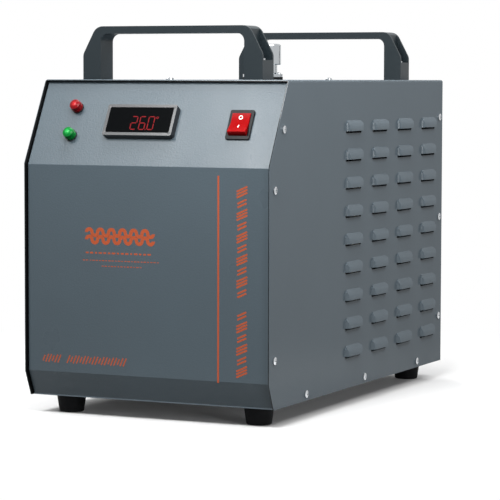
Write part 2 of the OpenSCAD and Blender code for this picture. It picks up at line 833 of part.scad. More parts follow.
module filler_strainer() {
    r = neck_r - neck_wall - fit_gap;
    slots = 12;
    color(nickel)
        at_filler()
            difference() {
                union() {
                    bar_z([0, 0, z_neck], neck_r, strainer_rim_t);
                    bar_z([0, 0, z_neck - strainer_h], r, strainer_h);
                }
                bar_z([0, 0, z_neck - strainer_h + 1], r - 1, strainer_h + 2 * over);
                for (a = [0 : 360 / slots : 179])
                    rotate(a) translate([-2 * r, -0.8, z_neck - strainer_h + 4])
                        cube([4 * r, 1.6, strainer_h - neck_h - 8]);
            }
}

module cap_seal() {
    z = z_neck + strainer_rim_t + fit_gap;
    color(rubber_black)
        at_filler()
            difference() {
                bar_z([0, 0, z], neck_r, seal_t);
                bar_z([0, 0, z - over], neck_r - 4, seal_t + 2 * over);
            }
}

module filler_cap() {
    z_lid = z_neck + strainer_rim_t + fit_gap + seal_t;
    z_top_cap = z_neck - neck_h + 10 + cap_h;
    z_low = z_top_cap - cap_h;
    flutes = 24;
    color(bright_chrome)
        at_filler()
            difference() {
                rotate_extrude()
                    polygon([[0, z_low], [cap_r - 0.8, z_low], [cap_r, z_low + 0.8], [cap_r, z_top_cap - 2.5],
                        [cap_r - 0.7, z_top_cap - 0.8], [cap_r - 2.4, z_top_cap], [0, z_top_cap]]);
                bar_z([0, 0, z_low - over], neck_r + run_gap, z_lid - z_low + over);
            }
}

fan_shaft_r = 1.5;
fan_strut_t = 4;
// Outer radius of the blades, clear of the duct
blade_r = fan_duct_r - 1;

module fan_frame() {
    color(moulded_black)
        difference() {
            union() {
                along_y(y_fan, y_back_inner)
                    difference() {
                        translate([0, z_fan]) round_rect(fan_size, fan_size, 4);
                        translate([0, z_fan]) circle(fan_duct_r, $fn = 96);
                    }
                bar_y([0, y_fan, z_fan], fan_hub_r, fan_strut_t);
                for (a = [45 : 90 : 315])
                    translate([0, y_fan, z_fan]) rotate([0, a, 0])
                        translate([fan_hub_r / 2, 0, -2.5]) cube([fan_duct_r - fan_hub_r / 2 + over, fan_strut_t - 0.5, 5]);
            }
            bar_y([0, y_fan + over, z_fan], fan_shaft_r + run_gap, fan_strut_t);
            for (x = [-1, 1], z = [-1, 1])
                bar_y([x * fan_hole_pitch / 2, y_fan - over, z_fan + z * fan_hole_pitch / 2], screw_hole_r,
                    fan_d + 2 * over);
        }
}

module fan_rotor() {
    y0 = y_fan + fan_strut_t + 0.3;
    y1 = y_back_inner - 1.5;
    l = y1 - y0;
    blade_t = 2;
    color(moulded_black) {
        translate([0, y0, z_fan])
            difference() {
                union() {
                    bar_y([0, 0, 0], fan_hub_r - 0.5, l);
                    intersection() {
                        bar_y([0, 1, 0], blade_r, l - 2);
                        for (i = [0 : fan_blades - 1])
                            rotate([0, i * 360 / fan_blades, 0])
                                translate([0, l / 2, fan_hub_r / 2]) rotate([0, 0, fan_pitch])
                                    translate([-l, -blade_t / 2, 0]) cube([2 * l, blade_t, fan_duct_r]);
                    }
                }
                bar_y([0, l - 1, 0], fan_hub_r - 3, l);
            }
        bar_y([0, y_fan + over + fit_gap, z_fan], fan_shaft_r, y0 - y_fan);
    }
}

guard_wire_r = 1.1;
guard_rings = [fan_hub_r / 2, fan_hub_r, fan_hub_r + 10, fan_hub_r + 20, fan_hub_r + 30, fan_duct_r + 1];
guard_eye_t = 1.6;
guard_eye_r = 5.5;

// Wire guard over the fan: rings with four spokes across their outer side, each ending in an eye
module fan_guard() {
    y_ring = y_back_face + guard_wire_r + run_gap;
    hole_r = fan_hole_pitch / sqrt(2);
    spoke_in = guard_rings[0] - 2 * guard_wire_r;
    color(bright_chrome)
        for (a = [45 : 90 : 315])
            translate([0, y_ring, z_fan]) rotate([0, a, 0]) {
                bar_x([spoke_in, 0.8 * guard_wire_r, 0], guard_wire_r, hole_r - guard_eye_r + over - spoke_in);
                difference() {
                    bar_y([hole_r, y_back_face - y_ring, 0], guard_eye_r, guard_eye_t);
                    bar_y([hole_r, -over - guard_eye_t, 0], screw_hole_r, 2 * guard_eye_t + 2 * over);
                }
            }
    color(bright_chrome)
        for (r = guard_rings)
            translate([0, y_ring, z_fan]) rotate([90, 0, 0])
                rotate_extrude() translate([r, 0]) circle(guard_wire_r, $fn = 14);
}

module fan_screws() {
    color(nickel)
        for (x = [-1, 1], z = [-1, 1])
            translate([x * fan_hole_pitch / 2, y_back_face + guard_eye_t, z_fan + z * fan_hole_pitch / 2])
                rotate([-90, 0, 0]) pan_screw(guard_eye_t + sheet + fan_d + 4);
}

fitting_thread_r = 8;
fitting_hex_t = 7;
barb_r = 5.6;
stub_r = 5;
stub_l = 16;
fitting_nut_t = 5;

// A hose fitting in the rear panel: hex and barbs outside, thread and plain stub inside
module hose_fitting(x) {
    barbs = 3;
    barb_l = (barb_reach - fitting_hex_t) / barbs;
    color(brass_yellow)
        translate([x, y_back_face, z_fitting]) rotate([-90, 0, 0])
            difference() {
                union() {
                    cylinder(r = 11.5, h = fitting_hex_t, $fn = 6);
                    bar_z([0, 0, -12], fitting_thread_r, 12);
                    bar_z([0, 0, -12 - stub_l], stub_r, stub_l);
                    rotate_extrude()
                        polygon([[0, fitting_hex_t], [stub_r - 0.4, fitting_hex_t],
                            for (i = [0 : barbs - 1]) each [
                                [barb_r, fitting_hex_t + i * barb_l + 1.2],
                                [stub_r - 0.4, fitting_hex_t + (i + 1) * barb_l]],
                            [0, barb_reach]]);
                }
                bar_z([0, 0, -12 - stub_l - over], fitting_bore_r, barb_reach + 12 + stub_l + 2 * over);
            }
}

module water_inlet() hose_fitting(-fitting_span / 2);
module water_outlet() hose_fitting(fitting_span / 2);

module fitting_nuts() {
    color(brass_yellow)
        for (p = [[-fitting_span / 2, z_fitting], [fitting_span / 2, z_fitting], [0, z_floor + drain_h]])
            translate([p[0], y_back_inner - fitting_nut_t, p[1]]) rotate([-90, 0, 0])
                difference() {
                    cylinder(r = 11.5, h = fitting_nut_t, $fn = 6);
                    bar_z([0, 0, -over], fitting_thread_r + run_gap, fitting_nut_t + 2 * over);
                }
}

gauge_w = 20;
gauge_t = 12;
gauge_tube_r = 4;
gauge_port_r = 5;
gauge_end = 15;
gauge_ports = [z_floor + gauge_low + gauge_end / 2, z_floor + gauge_low + gauge_l - gauge_end / 2];

module gauge_holder() {
    z0 = z_floor + gauge_low;
    tube_y = y_back_face + gauge_t - gauge_tube_r - 1;
    color(moulded_black)
        difference() {
            union() {
                translate([gauge_x, y_back_face, z0 + gauge_l / 2]) rotate([-90, 0, 0]) linear_extrude(gauge_t)
                    round_rect(gauge_w, gauge_l, 3);
                for (z = gauge_ports)
                    bar_y([gauge_x, y_back_inner - 8, z], gauge_port_r, 9 + sheet);
            }
            translate([gauge_x - gauge_tube_r - 1, y_back_face + 2, z0 + gauge_end])
                cube([2 * gauge_tube_r + 2, gauge_t, gauge_l - 2 * gauge_end]);
            bar_z([gauge_x, tube_y, z0 + gauge_end / 2], gauge_tube_r + run_gap, gauge_l - gauge_end);
        }
}

module gauge_tube() {
    tube_y = y_back_face + gauge_t - gauge_tube_r - 1;
    color(clear_plastic)
        bar_z([gauge_x, tube_y, z_floor + gauge_low + gauge_end / 2 + fit_gap], gauge_tube_r,
            gauge_l - gauge_end - 2 * fit_gap);
}

drain_l = 14;

module drain_fitting() {
    color(brass_yellow)
        translate([0, y_back_face, z_floor + drain_h]) rotate([-90, 0, 0])
            difference() {
                union() {
                    cylinder(r = 11.5, h = 4, $fn = 6);
                    bar_z([0, 0, -12], fitting_thread_r, 12 + drain_l);
                    bar_z([0, 0, -12 - stub_l], stub_r, stub_l);
                }
                bar_z([0, 0, -12 - stub_l - over], fitting_bore_r, drain_l + 12 + stub_l + 2 * over);
            }
}

module drain_cap() {
    color(moulded_black)
        translate([0, y_back_face, z_floor + drain_h]) rotate([-90, 0, 0])
            difference() {
                bar_z([0, 0, 4 + fit_gap], 11, drain_l);
                bar_z([0, 0, 0], fitting_thread_r + run_gap, drain_l + fit_gap);
                for (a = [0 : 45 : 315])
                    rotate(a) bar_z([12, 0, 6], 2, drain_l);
            }
}

inlet_w = 50;
inlet_plate_h = 46;
inlet_body_w = 31;
inlet_body_h = 40;
inlet_t = 3;
inlet_deep = 19;
socket_w = 24;
socket_h = 17;
socket_drop = -7;
fuse_w = 22;
fuse_h = 8;
fuse_rise = 12.5;

module power_inlet() {
    color(moulded_black)
        translate([inlet_x, y_back_face, z_floor + inlet_h]) rotate([-90, 0, 0]) mirror([0, 1, 0])
            difference() {
                union() {
                    linear_extrude(inlet_t) round_rect(inlet_w, inlet_plate_h, 3);
                    translate([0, 0, -inlet_deep]) linear_extrude(inlet_deep)
                        square([inlet_body_w, inlet_body_h], center = true);
                }
                translate([0, socket_drop, -inlet_deep + 2]) linear_extrude(inlet_deep + inlet_t)
                    polygon([[-socket_w / 2, -socket_h / 2 + 4], [-socket_w / 2 + 4, -socket_h / 2],
                        [socket_w / 2 - 4, -socket_h / 2], [socket_w / 2, -socket_h / 2 + 4],
                        [socket_w / 2, socket_h / 2], [-socket_w / 2, socket_h / 2]]);
                translate([0, fuse_rise, -inlet_deep + 2]) linear_extrude(inlet_deep + inlet_t)
                    square([fuse_w + 2 * fit_gap, fuse_h + 2 * fit_gap], center = true);
            }
}

pin_l = 14;

module power_pins() {
    color(nickel)
        translate([inlet_x, y_back_face, z_floor + inlet_h]) rotate([-90, 0, 0]) mirror([0, 1, 0])
            for (p = [[-7, 2], [7, 2], [0, -2]])
                translate([p[0] - 1, socket_drop + p[1] - 2, -inlet_deep + 2]) cube([2, 4, pin_l]);
}

module fuse_drawer() {
    color(moulded_black)
        translate([inlet_x, y_back_face, z_floor + inlet_h]) rotate([-90, 0, 0]) mirror([0, 1, 0])
            translate([0, fuse_rise, 0])
                difference() {
                    union() {
                        translate([0, 0, -inlet_deep + 2 + fit_gap]) linear_extrude(inlet_deep - 2 + inlet_t)
                            square([fuse_w, fuse_h], center = true);
                        translate([0, 0, inlet_t + fit_gap]) linear_extrude(1.5)
                            square([fuse_w + 2, fuse_h + 2], center = true);
                    }
                    translate([-8, -2.6, -inlet_deep + 4]) cube([16, 5.2, 12]);
                }
}

alarm_r = 7.9;
alarm_l = 9;

module alarm_socket() {
    color(nickel)
        translate([inlet_x, y_back_face, z_floor + alarm_h]) rotate([-90, 0, 0])
            difference() {
                union() {
                    cylinder(r = alarm_r + 3, h = 2.5, $fn = 6);
                    bar_z([0, 0, -12], alarm_r, 12 + 2.5 + alarm_l);
                    translate([0, 0, -sheet - 4]) cylinder(r = alarm_r + 3, h = 4, $fn = 6);
                }
                bar_z([0, 0, 2.5], alarm_r - 1.6, alarm_l + over);
            }
}

module alarm_pins() {
    color(brass_yellow)
        translate([inlet_x, y_back_face, z_floor + alarm_h]) rotate([-90, 0, 0])
            for (a = [90, 210, 330])
                rotate(a) bar_z([3, 0, 2.5], 0.9, 6);
}

tank_w = case_w - 2 * tank_lane;
pump_x = -10;
z_pump = z_floor + 3 + volute_r;
tank_port_x = 19 - tank_w / 2;
lane_x = -case_w / 2 + sheet + tank_lane / 2;
tank_port_r = 5;
tank_return_y = behind(tank_front + tank_l - 30);
tank_return_x = 47 - tank_w / 2;

module water_tank() {
    color(tank_white)
        difference() {
            union() {
                translate([0, behind(tank_front + tank_l / 2), z_floor]) linear_extrude(tank_h)
                    round_rect(tank_w, tank_l, 12);
                bar_y([tank_port_x, behind(tank_front) - stub_l, z_pump], tank_port_r, stub_l + tank_wall);
                bar_z([tank_return_x, tank_return_y, z_tank_top - tank_wall], tank_port_r, stub_l + tank_wall);
            }
            translate([0, behind(tank_front + tank_l / 2), z_floor + tank_wall]) linear_extrude(tank_h - 2 * tank_wall)
                round_rect(tank_w - 2 * tank_wall, tank_l - 2 * tank_wall, 12 - tank_wall);
            bar_z([0, behind(filler_y), z_tank_top - tank_wall - over], neck_r + fit_gap, tank_wall + 2 * over);
            bar_y([tank_port_x, behind(tank_front) - stub_l - over, z_pump], fitting_bore_r, stub_l + 2 * tank_wall + over);
            bar_z([tank_return_x, tank_return_y, z_tank_top - 2 * tank_wall], fitting_bore_r, stub_l + 3 * tank_wall);
        }
}

core_rows = [z_fan - core_size / 2 + 15, z_fan + core_size / 2 - 15];
core_mid = y_core + core_d / 2;
core_tube_r = 4.5;
core_stub_l = 10;

// Sheet frame of the heat exchanger, screwed to the fan, with its two header stubs
module core_frame() {
    wall = 2;
    color(fin_silver)
        difference() {
            union() {
                along_y(y_core, y_fan)
                    difference() {
                        translate([0, z_fan]) square([core_size, core_size], center = true);
                        translate([0, z_fan]) square([core_size - 2 * wall, core_size - 2 * wall], center = true);
                    }
                along_y(y_fan - wall, y_fan)
                    difference() {
                        translate([0, z_fan]) square([core_size - wall, core_size - wall], center = true);
                        translate([0, z_fan]) circle(fan_duct_r, $fn = 96);
                    }
                for (z = core_rows)
                    bar_x([-core_size / 2 - core_stub_l, core_mid, z], tank_port_r, core_stub_l + wall / 2);
            }
            for (z = core_rows)
                bar_x([-core_size / 2 - core_stub_l - over, core_mid, z], fitting_bore_r,
                    core_stub_l + over + 2 * wall);
            for (x = [-1, 1], z = [-1, 1])
                bar_y([x * fan_hole_pitch / 2, y_fan - wall - over, z_fan + z * fan_hole_pitch / 2],
                    thread_hole_r, wall + 2 * over);
        }
}

// Stack of upright fins on the tubes that cross them
module core_fins() {
    inner = core_size - 4 - 2 * fit_gap;
    fin_t = 0.8;
    pitch = (inner - fin_t) / (core_fins - 1);
    depth = core_d - 8;
    color(fin_silver)
        union() {
            for (i = [0 : core_fins - 1])
                translate([-inner / 2 + i * pitch, y_core + 1, z_fan - inner / 2]) cube([fin_t, depth, inner]);
            for (z = [-2 : 2])
                bar_x([-inner / 2, y_core + 1 + depth / 2, z_fan + z * inner / 6], core_tube_r, inner);
        }
}

impeller_r = 27;
impeller_w = 14;
pump_shaft_r = 4;

module pump_body() {
    foot_w = 60;
    color(moulded_black)
        difference() {
            union() {
                bar_x([pump_x - volute_w, behind(pump_y), z_pump], volute_r, volute_w);
                bar_x([pump_x, behind(pump_y), z_pump], motor_r, motor_l);
                bar_x([pump_x - volute_w - stub_l, behind(pump_y), z_pump], tank_port_r, stub_l + over);
                bar_z([pump_x - volute_w / 2, behind(pump_y), z_pump], tank_port_r + 2, volute_r + 6);
                bar_z([pump_x - volute_w / 2, behind(pump_y), z_pump], tank_port_r, volute_r + 6 + stub_l);
                translate([pump_x - volute_w, behind(pump_y) - foot_w / 2, z_floor]) cube([volute_w + motor_l, foot_w, 4]);
                for (x = [pump_x - volute_w, pump_x + motor_l - 10])
                    translate([x, behind(pump_y) - 20, z_floor]) cube([10, 40, z_pump - z_floor]);
            }
            bar_x([pump_x - volute_w + 4, behind(pump_y), z_pump], impeller_r + 2, impeller_w + 2);
            bar_x([pump_x - volute_w - stub_l - over, behind(pump_y), z_pump], fitting_bore_r, stub_l + 10);
            bar_x([pump_x - volute_w + 4, behind(pump_y), z_pump], pump_shaft_r + run_gap, 2 * impeller_w + 6);
            bar_z([pump_x - volute_w / 2, behind(pump_y), z_pump + impeller_r - 3], fitting_bore_r, volute_r + 20);
        }
}

module pump_impeller() {
    x0 = pump_x - volute_w + 5;
    vanes = 6;
    color(nickel)
        translate([x0, behind(pump_y), z_pump])
            union() {
                bar_x([impeller_w - 3, 0, 0], impeller_r, 3);
                bar_x([3, 0, 0], pump_shaft_r + 4, impeller_w - 3);
                bar_x([3, 0, 0], pump_shaft_r, impeller_w + 12);
                intersection() {
                    bar_x([3, 0, 0], impeller_r, impeller_w - 3);
                    for (i = [0 : vanes - 1])
                        rotate([i * 360 / vanes, 0, 0]) translate([3, pump_shaft_r, 0]) rotate([25, 0, 0])
                            cube([impeller_w - 3, 2 * impeller_r, 1.6]);
                }
            }
}

switch_box_x = -60;
switch_box_w = 34;
cross_y = y_core - 18;
hose_z = z_fitting;

// Flow switch in the delivery line, on a post from the tray
module flow_switch() {
    color(moulded_black)
        difference() {
            union() {
                translate([switch_box_x, cross_y - 12, hose_z - 12]) cube([switch_box_w, 24, 34]);
                bar_x([switch_box_x - stub_l, cross_y, hose_z], tank_port_r, switch_box_w + 2 * stub_l);
                translate([switch_box_x + switch_box_w / 2 - 6, cross_y - 6, z_floor]) cube([12, 12, hose_z - z_floor]);
            }
            bar_x([switch_box_x - stub_l - over, cross_y, hose_z], fitting_bore_r, switch_box_w + 2 * stub_l + 2 * over);
        }
}

// Power supply and control board in one box beside the pump
module control_box() {
    box_w = 42;
    box_l = 80;
    box_h = 90;
    slots = 6;
    slot_pitch = box_l / (slots + 1);
    x0 = case_w / 2 - side_screw_l - over - box_w;
    y0 = behind(screw_bottom_first) - box_l / 8;
    color(fin_silver)
        difference() {
            translate([x0, y0, z_floor]) cube([box_w, box_l, box_h]);
            for (i = [1 : slots])
                translate([x0 - over, y0 + i * slot_pitch - slot_pitch / 4, z_floor + box_h / 6])
                    cube([3 + over, slot_pitch / 2, box_h * 2 / 3]);
        }
}

// A hose along straight legs with a quarter bend at each inner point
module hose(p, r, bend) {
    n = len(p) - 1;
    legs = [for (i = [0 : n - 1]) (p[i + 1] - p[i]) / norm(p[i + 1] - p[i])];
    for (i = [0 : n - 1]) {
        start = p[i] + (i > 0 ? bend : 0) * legs[i];
        end = p[i + 1] - (i < n - 1 ? bend : 0) * legs[i];
        leg(start, legs[i], norm(end - start), r);
    }
    for (i = [1 : n - 1]) {
        u = -legs[i];
        v = legs[i - 1];
        w = cross(u, v);
        c = p[i] - bend * legs[i - 1] + bend * legs[i];
        multmatrix([[u[0], v[0], w[0], c[0]], [u[1], v[1], w[1], c[1]], [u[2], v[2], w[2], c[2]], [0, 0, 0, 1]])
            rotate_extrude(angle = 90) translate([bend, 0]) circle(r);
    }
}

// One straight leg along X, Y or Z in either direction
module leg(start, way, l, r) {
    translate(start)
        rotate([way[1] != 0 ? -90 * way[1] : way[2] < 0 ? 180 : 0, way[0] * 90, 0]) cylinder(r = r, h = l);
}

// A hose with its bore, which slips over the stubs at its ends
module tube(p) {
    color(rubber_black)
        difference() {
            hose(p, hose_r, hose_bend);
            hose([for (i = [0 : len(p) - 1])
                i == 0 ? p[0] + (p[0] - p[1]) / norm(p[0] - p[1]) :
                i == len(p) - 1 ? p[i] + (p[i] - p[i - 1]) / norm(p[i] - p[i - 1]) : p[i]],
                tank_port_r + fit_gap / 2, hose_bend);
        }
}

stub_grip = 12;
// Where the heat exchanger's hoses turn, just past their first bend
core_turn_x = -core_size / 2 - core_stub_l - hose_bend - over;
y_inner_stub = y_back_face - 12 - stub_l;

module suction_hose() {
    tube([
        [pump_x - volute_w - stub_l + stub_grip, behind(pump_y), z_pump],
        [tank_port_x, behind(pump_y), z_pump],
        [tank_port_x, behind(tank_front) - stub_l + stub_grip, z_pump]
    ]);
}

module delivery_hose() {
    x = pump_x - volute_w / 2;
    tube([
        [x, behind(pump_y), z_pump + volute_r + 6 + stub_l - stub_grip],
        [x, behind(pump_y), hose_z],
        [lane_x, behind(pump_y), hose_z],
        [lane_x, cross_y, hose_z],
        [switch_box_x - stub_l + stub_grip, cross_y, hose_z]
    ]);
}

module outlet_hose() {
    tube([
        [switch_box_x + switch_box_w + stub_l - stub_grip, cross_y, hose_z],
        [fitting_span / 2, cross_y, hose_z],
        [fitting_span / 2, y_inner_stub + stub_grip, hose_z]
    ]);
}

module return_hose() {
    x = core_turn_x;
    tube([
        [-fitting_span / 2, y_inner_stub + stub_grip, z_fitting],
        [-fitting_span / 2, core_mid, z_fitting],
        [x, core_mid, z_fitting],
        [x, core_mid, core_rows[0]],
        [-core_size / 2 - over, core_mid, core_rows[0]]
    ]);
}

module tank_hose() {
    x = core_turn_x;
    tube([
        [-core_size / 2 - over, core_mid, core_rows[1]],
        [x, core_mid, core_rows[1]],
        [x, tank_return_y, core_rows[1]],
        [tank_return_x, tank_return_y, core_rows[1]],
        [tank_return_x, tank_return_y, z_tank_top + stub_l - stub_grip]
    ]);
}

hood();
front_panel();
base_tray();
rear_panel();
side_screws();
top_screws();
front_handle();
rear_handle();
handle_screws();
handle_nuts();
foot_front_left();
foot_front_right();
foot_rear_left();
foot_rear_right();
foot_screws();
display_bezel();
display_window();
switch_frame();
rocker_button();
red_lamp_holder();
red_lamp_lens();
green_lamp_holder();
green_lamp_lens();
filler_neck();
filler_gasket();
filler_screws();
filler_strainer();
cap_seal();
filler_cap();
fan_frame();
fan_rotor();
fan_guard();
fan_screws();
water_inlet();
water_outlet();
fitting_nuts();
gauge_holder();
gauge_tube();
drain_fitting();
drain_cap();
power_inlet();
power_pins();
fuse_drawer();
alarm_socket();
alarm_pins();
water_tank();
core_frame();
core_fins();
pump_body();
pump_impeller();
flow_switch();
control_box();
suction_hose();
delivery_hose();
outlet_hose();
return_hose();
tank_hose();
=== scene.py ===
"""Looks, light and camera for the recirculating chiller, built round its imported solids.

Every length is in metres, in the frame of the solids: X to the viewer's right, Y to the back, Z up.
"""

import logging
import math
from dataclasses import dataclass
from enum import Enum
from functools import cache

import bmesh
import bpy
from mathutils import Matrix, Vector


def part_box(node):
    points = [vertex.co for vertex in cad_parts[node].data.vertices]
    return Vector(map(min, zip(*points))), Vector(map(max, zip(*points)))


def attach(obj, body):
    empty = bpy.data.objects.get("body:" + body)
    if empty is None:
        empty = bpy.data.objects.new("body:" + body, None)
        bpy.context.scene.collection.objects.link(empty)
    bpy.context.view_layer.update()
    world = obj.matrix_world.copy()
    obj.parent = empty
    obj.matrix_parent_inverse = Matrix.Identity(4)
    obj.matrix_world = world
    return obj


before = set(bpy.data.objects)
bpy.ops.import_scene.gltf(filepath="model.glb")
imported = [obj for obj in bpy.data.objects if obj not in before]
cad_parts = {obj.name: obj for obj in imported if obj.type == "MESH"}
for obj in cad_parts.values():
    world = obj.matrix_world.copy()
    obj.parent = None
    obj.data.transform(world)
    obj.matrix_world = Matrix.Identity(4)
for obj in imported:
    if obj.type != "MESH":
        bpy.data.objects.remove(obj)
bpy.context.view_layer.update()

LOG = logging.getLogger("chiller")
Colour = tuple[float, float, float]
SAME_POINT = 1e-7


def linear(code: str) -> Colour:
    """Turns a colour of six hex digits into linear red, green and blue.

    Args:
        code: The colour as it looks on a screen, such as "5c666d".

    Returns:
        The three linear values.
    """
    parts = [int(code[i : i + 2], 16) / 255 for i in (0, 2, 4)]
    return tuple(p / 12.92 if p <= 0.04045 else ((p + 0.055) / 1.055) ** 2.4 for p in parts)


def mid(node: str) -> Vector:
    """Middle of a node's box."""
    low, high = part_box(node)
    return (Vector(low) + Vector(high)) / 2


class NodeSheet:
    """Places nodes in one tree and joins them."""

    STEP = 180
    MIX_INPUTS = (0, 6, 7)
    MIX_RESULT = 2

    def __init__(self, tree: bpy.types.NodeTree) -> None:
        """Starts on a tree.

        Args:
            tree: The node tree of a material, world or group.
        """
        self.tree = tree
        self.column = 0

    def add(self, kind: str, inputs: dict | None = None, **settings: object) -> bpy.types.Node:
        """Adds a node, with its settings and what goes into it.

        Args:
            kind: The node's Blender type.
            inputs: Values or sockets, by the input's name or number.
            **settings: Attributes of the node itself.

        Returns:
            The new node.
        """
        node = self.tree.nodes.new(kind)
        node.location = (self.STEP * self.column, 0)
        self.column += 1
        for name, value in settings.items():
            setattr(node, name, value)
        for name, value in (inputs or {}).items():
            if isinstance(value, bpy.types.NodeSocket):
                self.tree.links.new(value, node.inputs[name])
            else:
                node.inputs[name].default_value = value
        return node

    def math(self, operation: str, *values: object) -> bpy.types.NodeSocket:
        """Works out one number from others, and returns its socket."""
        node = self.add("ShaderNodeMath", dict(enumerate(values)), operation=operation)
        return node.outputs[0]

    def blend(
        self, factor: bpy.types.NodeSocket, first: bpy.types.NodeSocket, second: Colour
    ) -> bpy.types.NodeSocket:
        """Blends a plain colour into another one.

        Args:
            factor: How much of the plain colour there is.
            first: The socket of the colour that it goes into.
            second: The plain colour.

        Returns:
            The socket of the blended colour.
        """
        inputs = dict(zip(self.MIX_INPUTS, (factor, first, (*second, 1))))
        return self.add("ShaderNodeMix", inputs, data_type="RGBA").outputs[self.MIX_RESULT]


def start_group(
    name: str, kind: str, inputs: dict[str, str], outputs: dict[str, str]
) -> tuple[bpy.types.NodeTree, NodeSheet, bpy.types.Node, bpy.types.Node]:
    """Starts a node group with its sockets.

    Args:
        name: The group's name.
        kind: The Blender type of its tree.
        inputs: Input names and their kinds of socket.
        outputs: Output names and their kinds of socket.

    Returns:
        The group, its sheet, its input node and its output node.
    """
    group = bpy.data.node_groups.new(name, kind)
    for way, sockets in (("INPUT", inputs), ("OUTPUT", outputs)):
        for label, socket_type in sockets.items():
            group.interface.new_socket(label, in_out=way, socket_type=socket_type)
    sheet = NodeSheet(group)
    return group, sheet, sheet.add("NodeGroupInput"), sheet.add("NodeGroupOutput")


class Effect:
    """Shader node groups that several finishes share; each one is built once."""

    GRAIN_SPAN = (0.35, 0.65)
    GRAIN_DETAIL = 2.0
    GRAIN_ROUGHNESS = 0.6
    DRIFT_DETAIL = 3.0

    @classmethod
    @cache
    def grain(cls) -> bpy.types.NodeTree:
        """Builds fine grain in the surface.

        Returns:
            A group that puts out a mask and a height; its Scale is the grains in a metre.
        """
        group, sheet, given, out = start_group(
            "FineGrain", "ShaderNodeTree",
            {"Scale": "NodeSocketFloat"},
            {"Mask": "NodeSocketFloat", "Height": "NodeSocketFloat"},
        )
        noise = sheet.add(
            "ShaderNodeTexNoise",
            {
                "Vector": sheet.add("ShaderNodeTexCoord").outputs["Object"],
                "Scale": given.outputs["Scale"],
                "Detail": cls.GRAIN_DETAIL,
                "Roughness": cls.GRAIN_ROUGHNESS,
            },
        )
        low, high = cls.GRAIN_SPAN
        spread = sheet.add(
            "ShaderNodeMapRange", {"Value": noise.outputs["Fac"], "From Min": low, "From Max": high}
        )
        group.links.new(spread.outputs[0], out.inputs["Mask"])
        group.links.new(noise.outputs["Fac"], out.inputs["Height"])
        return group

    @classmethod
    @cache
    def drift(cls) -> bpy.types.NodeTree:
        """Builds a slow change of tone over a surface.

        Returns:
            A group that puts out a colour and a mask; its Amount is how far the colour swings.
        """
        group, sheet, given, out = start_group(
            "ToneDrift", "ShaderNodeTree",
            {"Colour": "NodeSocketColor", "Scale": "NodeSocketFloat", "Amount": "NodeSocketFloat"},
            {"Colour": "NodeSocketColor", "Mask": "NodeSocketFloat"},
        )
        noise = sheet.add(
            "ShaderNodeTexNoise",
            {
                "Vector": sheet.add("ShaderNodeTexCoord").outputs["Object"],
                "Scale": given.outputs["Scale"],
                "Detail": cls.DRIFT_DETAIL,
            },
        )
        centred = sheet.math("SUBTRACT", noise.outputs["Fac"], 0.5)
        swing = sheet.math("MULTIPLY", centred, given.outputs["Amount"])
        tint = sheet.add(
            "ShaderNodeHueSaturation",
            {"Value": sheet.math("ADD", 1.0, swing), "Color": given.outputs["Colour"]},
        )
        group.links.new(tint.outputs["Color"], out.inputs["Colour"])
        group.links.new(noise.outputs["Fac"], out.inputs["Mask"])
        return group

    # this mask marks where CasePaint paints shade inside the case
    @classmethod
    @cache
    def inside(cls) -> bpy.types.NodeTree:
        """Builds the mask of what lies inside a box about X = 0.

        Returns:
            A group that puts out the mask; its Half is half the box's width, its Top the box's height.
        """
        group, sheet, given, out = start_group(
            "PaintedShadeInside", "ShaderNodeTree",
            {"Half": "NodeSocketFloat", "Top": "NodeSocketFloat"},
            {"Mask": "NodeSocketFloat"},
        )
        place = sheet.add("ShaderNodeTexCoord").outputs["Object"]
        axes = sheet.add("ShaderNodeSeparateXYZ", {"Vector": place})
        across = sheet.math("LESS_THAN", sheet.math("ABSOLUTE", axes.outputs["X"]), given.outputs["Half"])
        below = sheet.math("LESS_THAN", axes.outputs["Z"], given.outputs["Top"])
        group.links.new(sheet.math("MULTIPLY", across, below), out.inputs["Mask"])
        return group


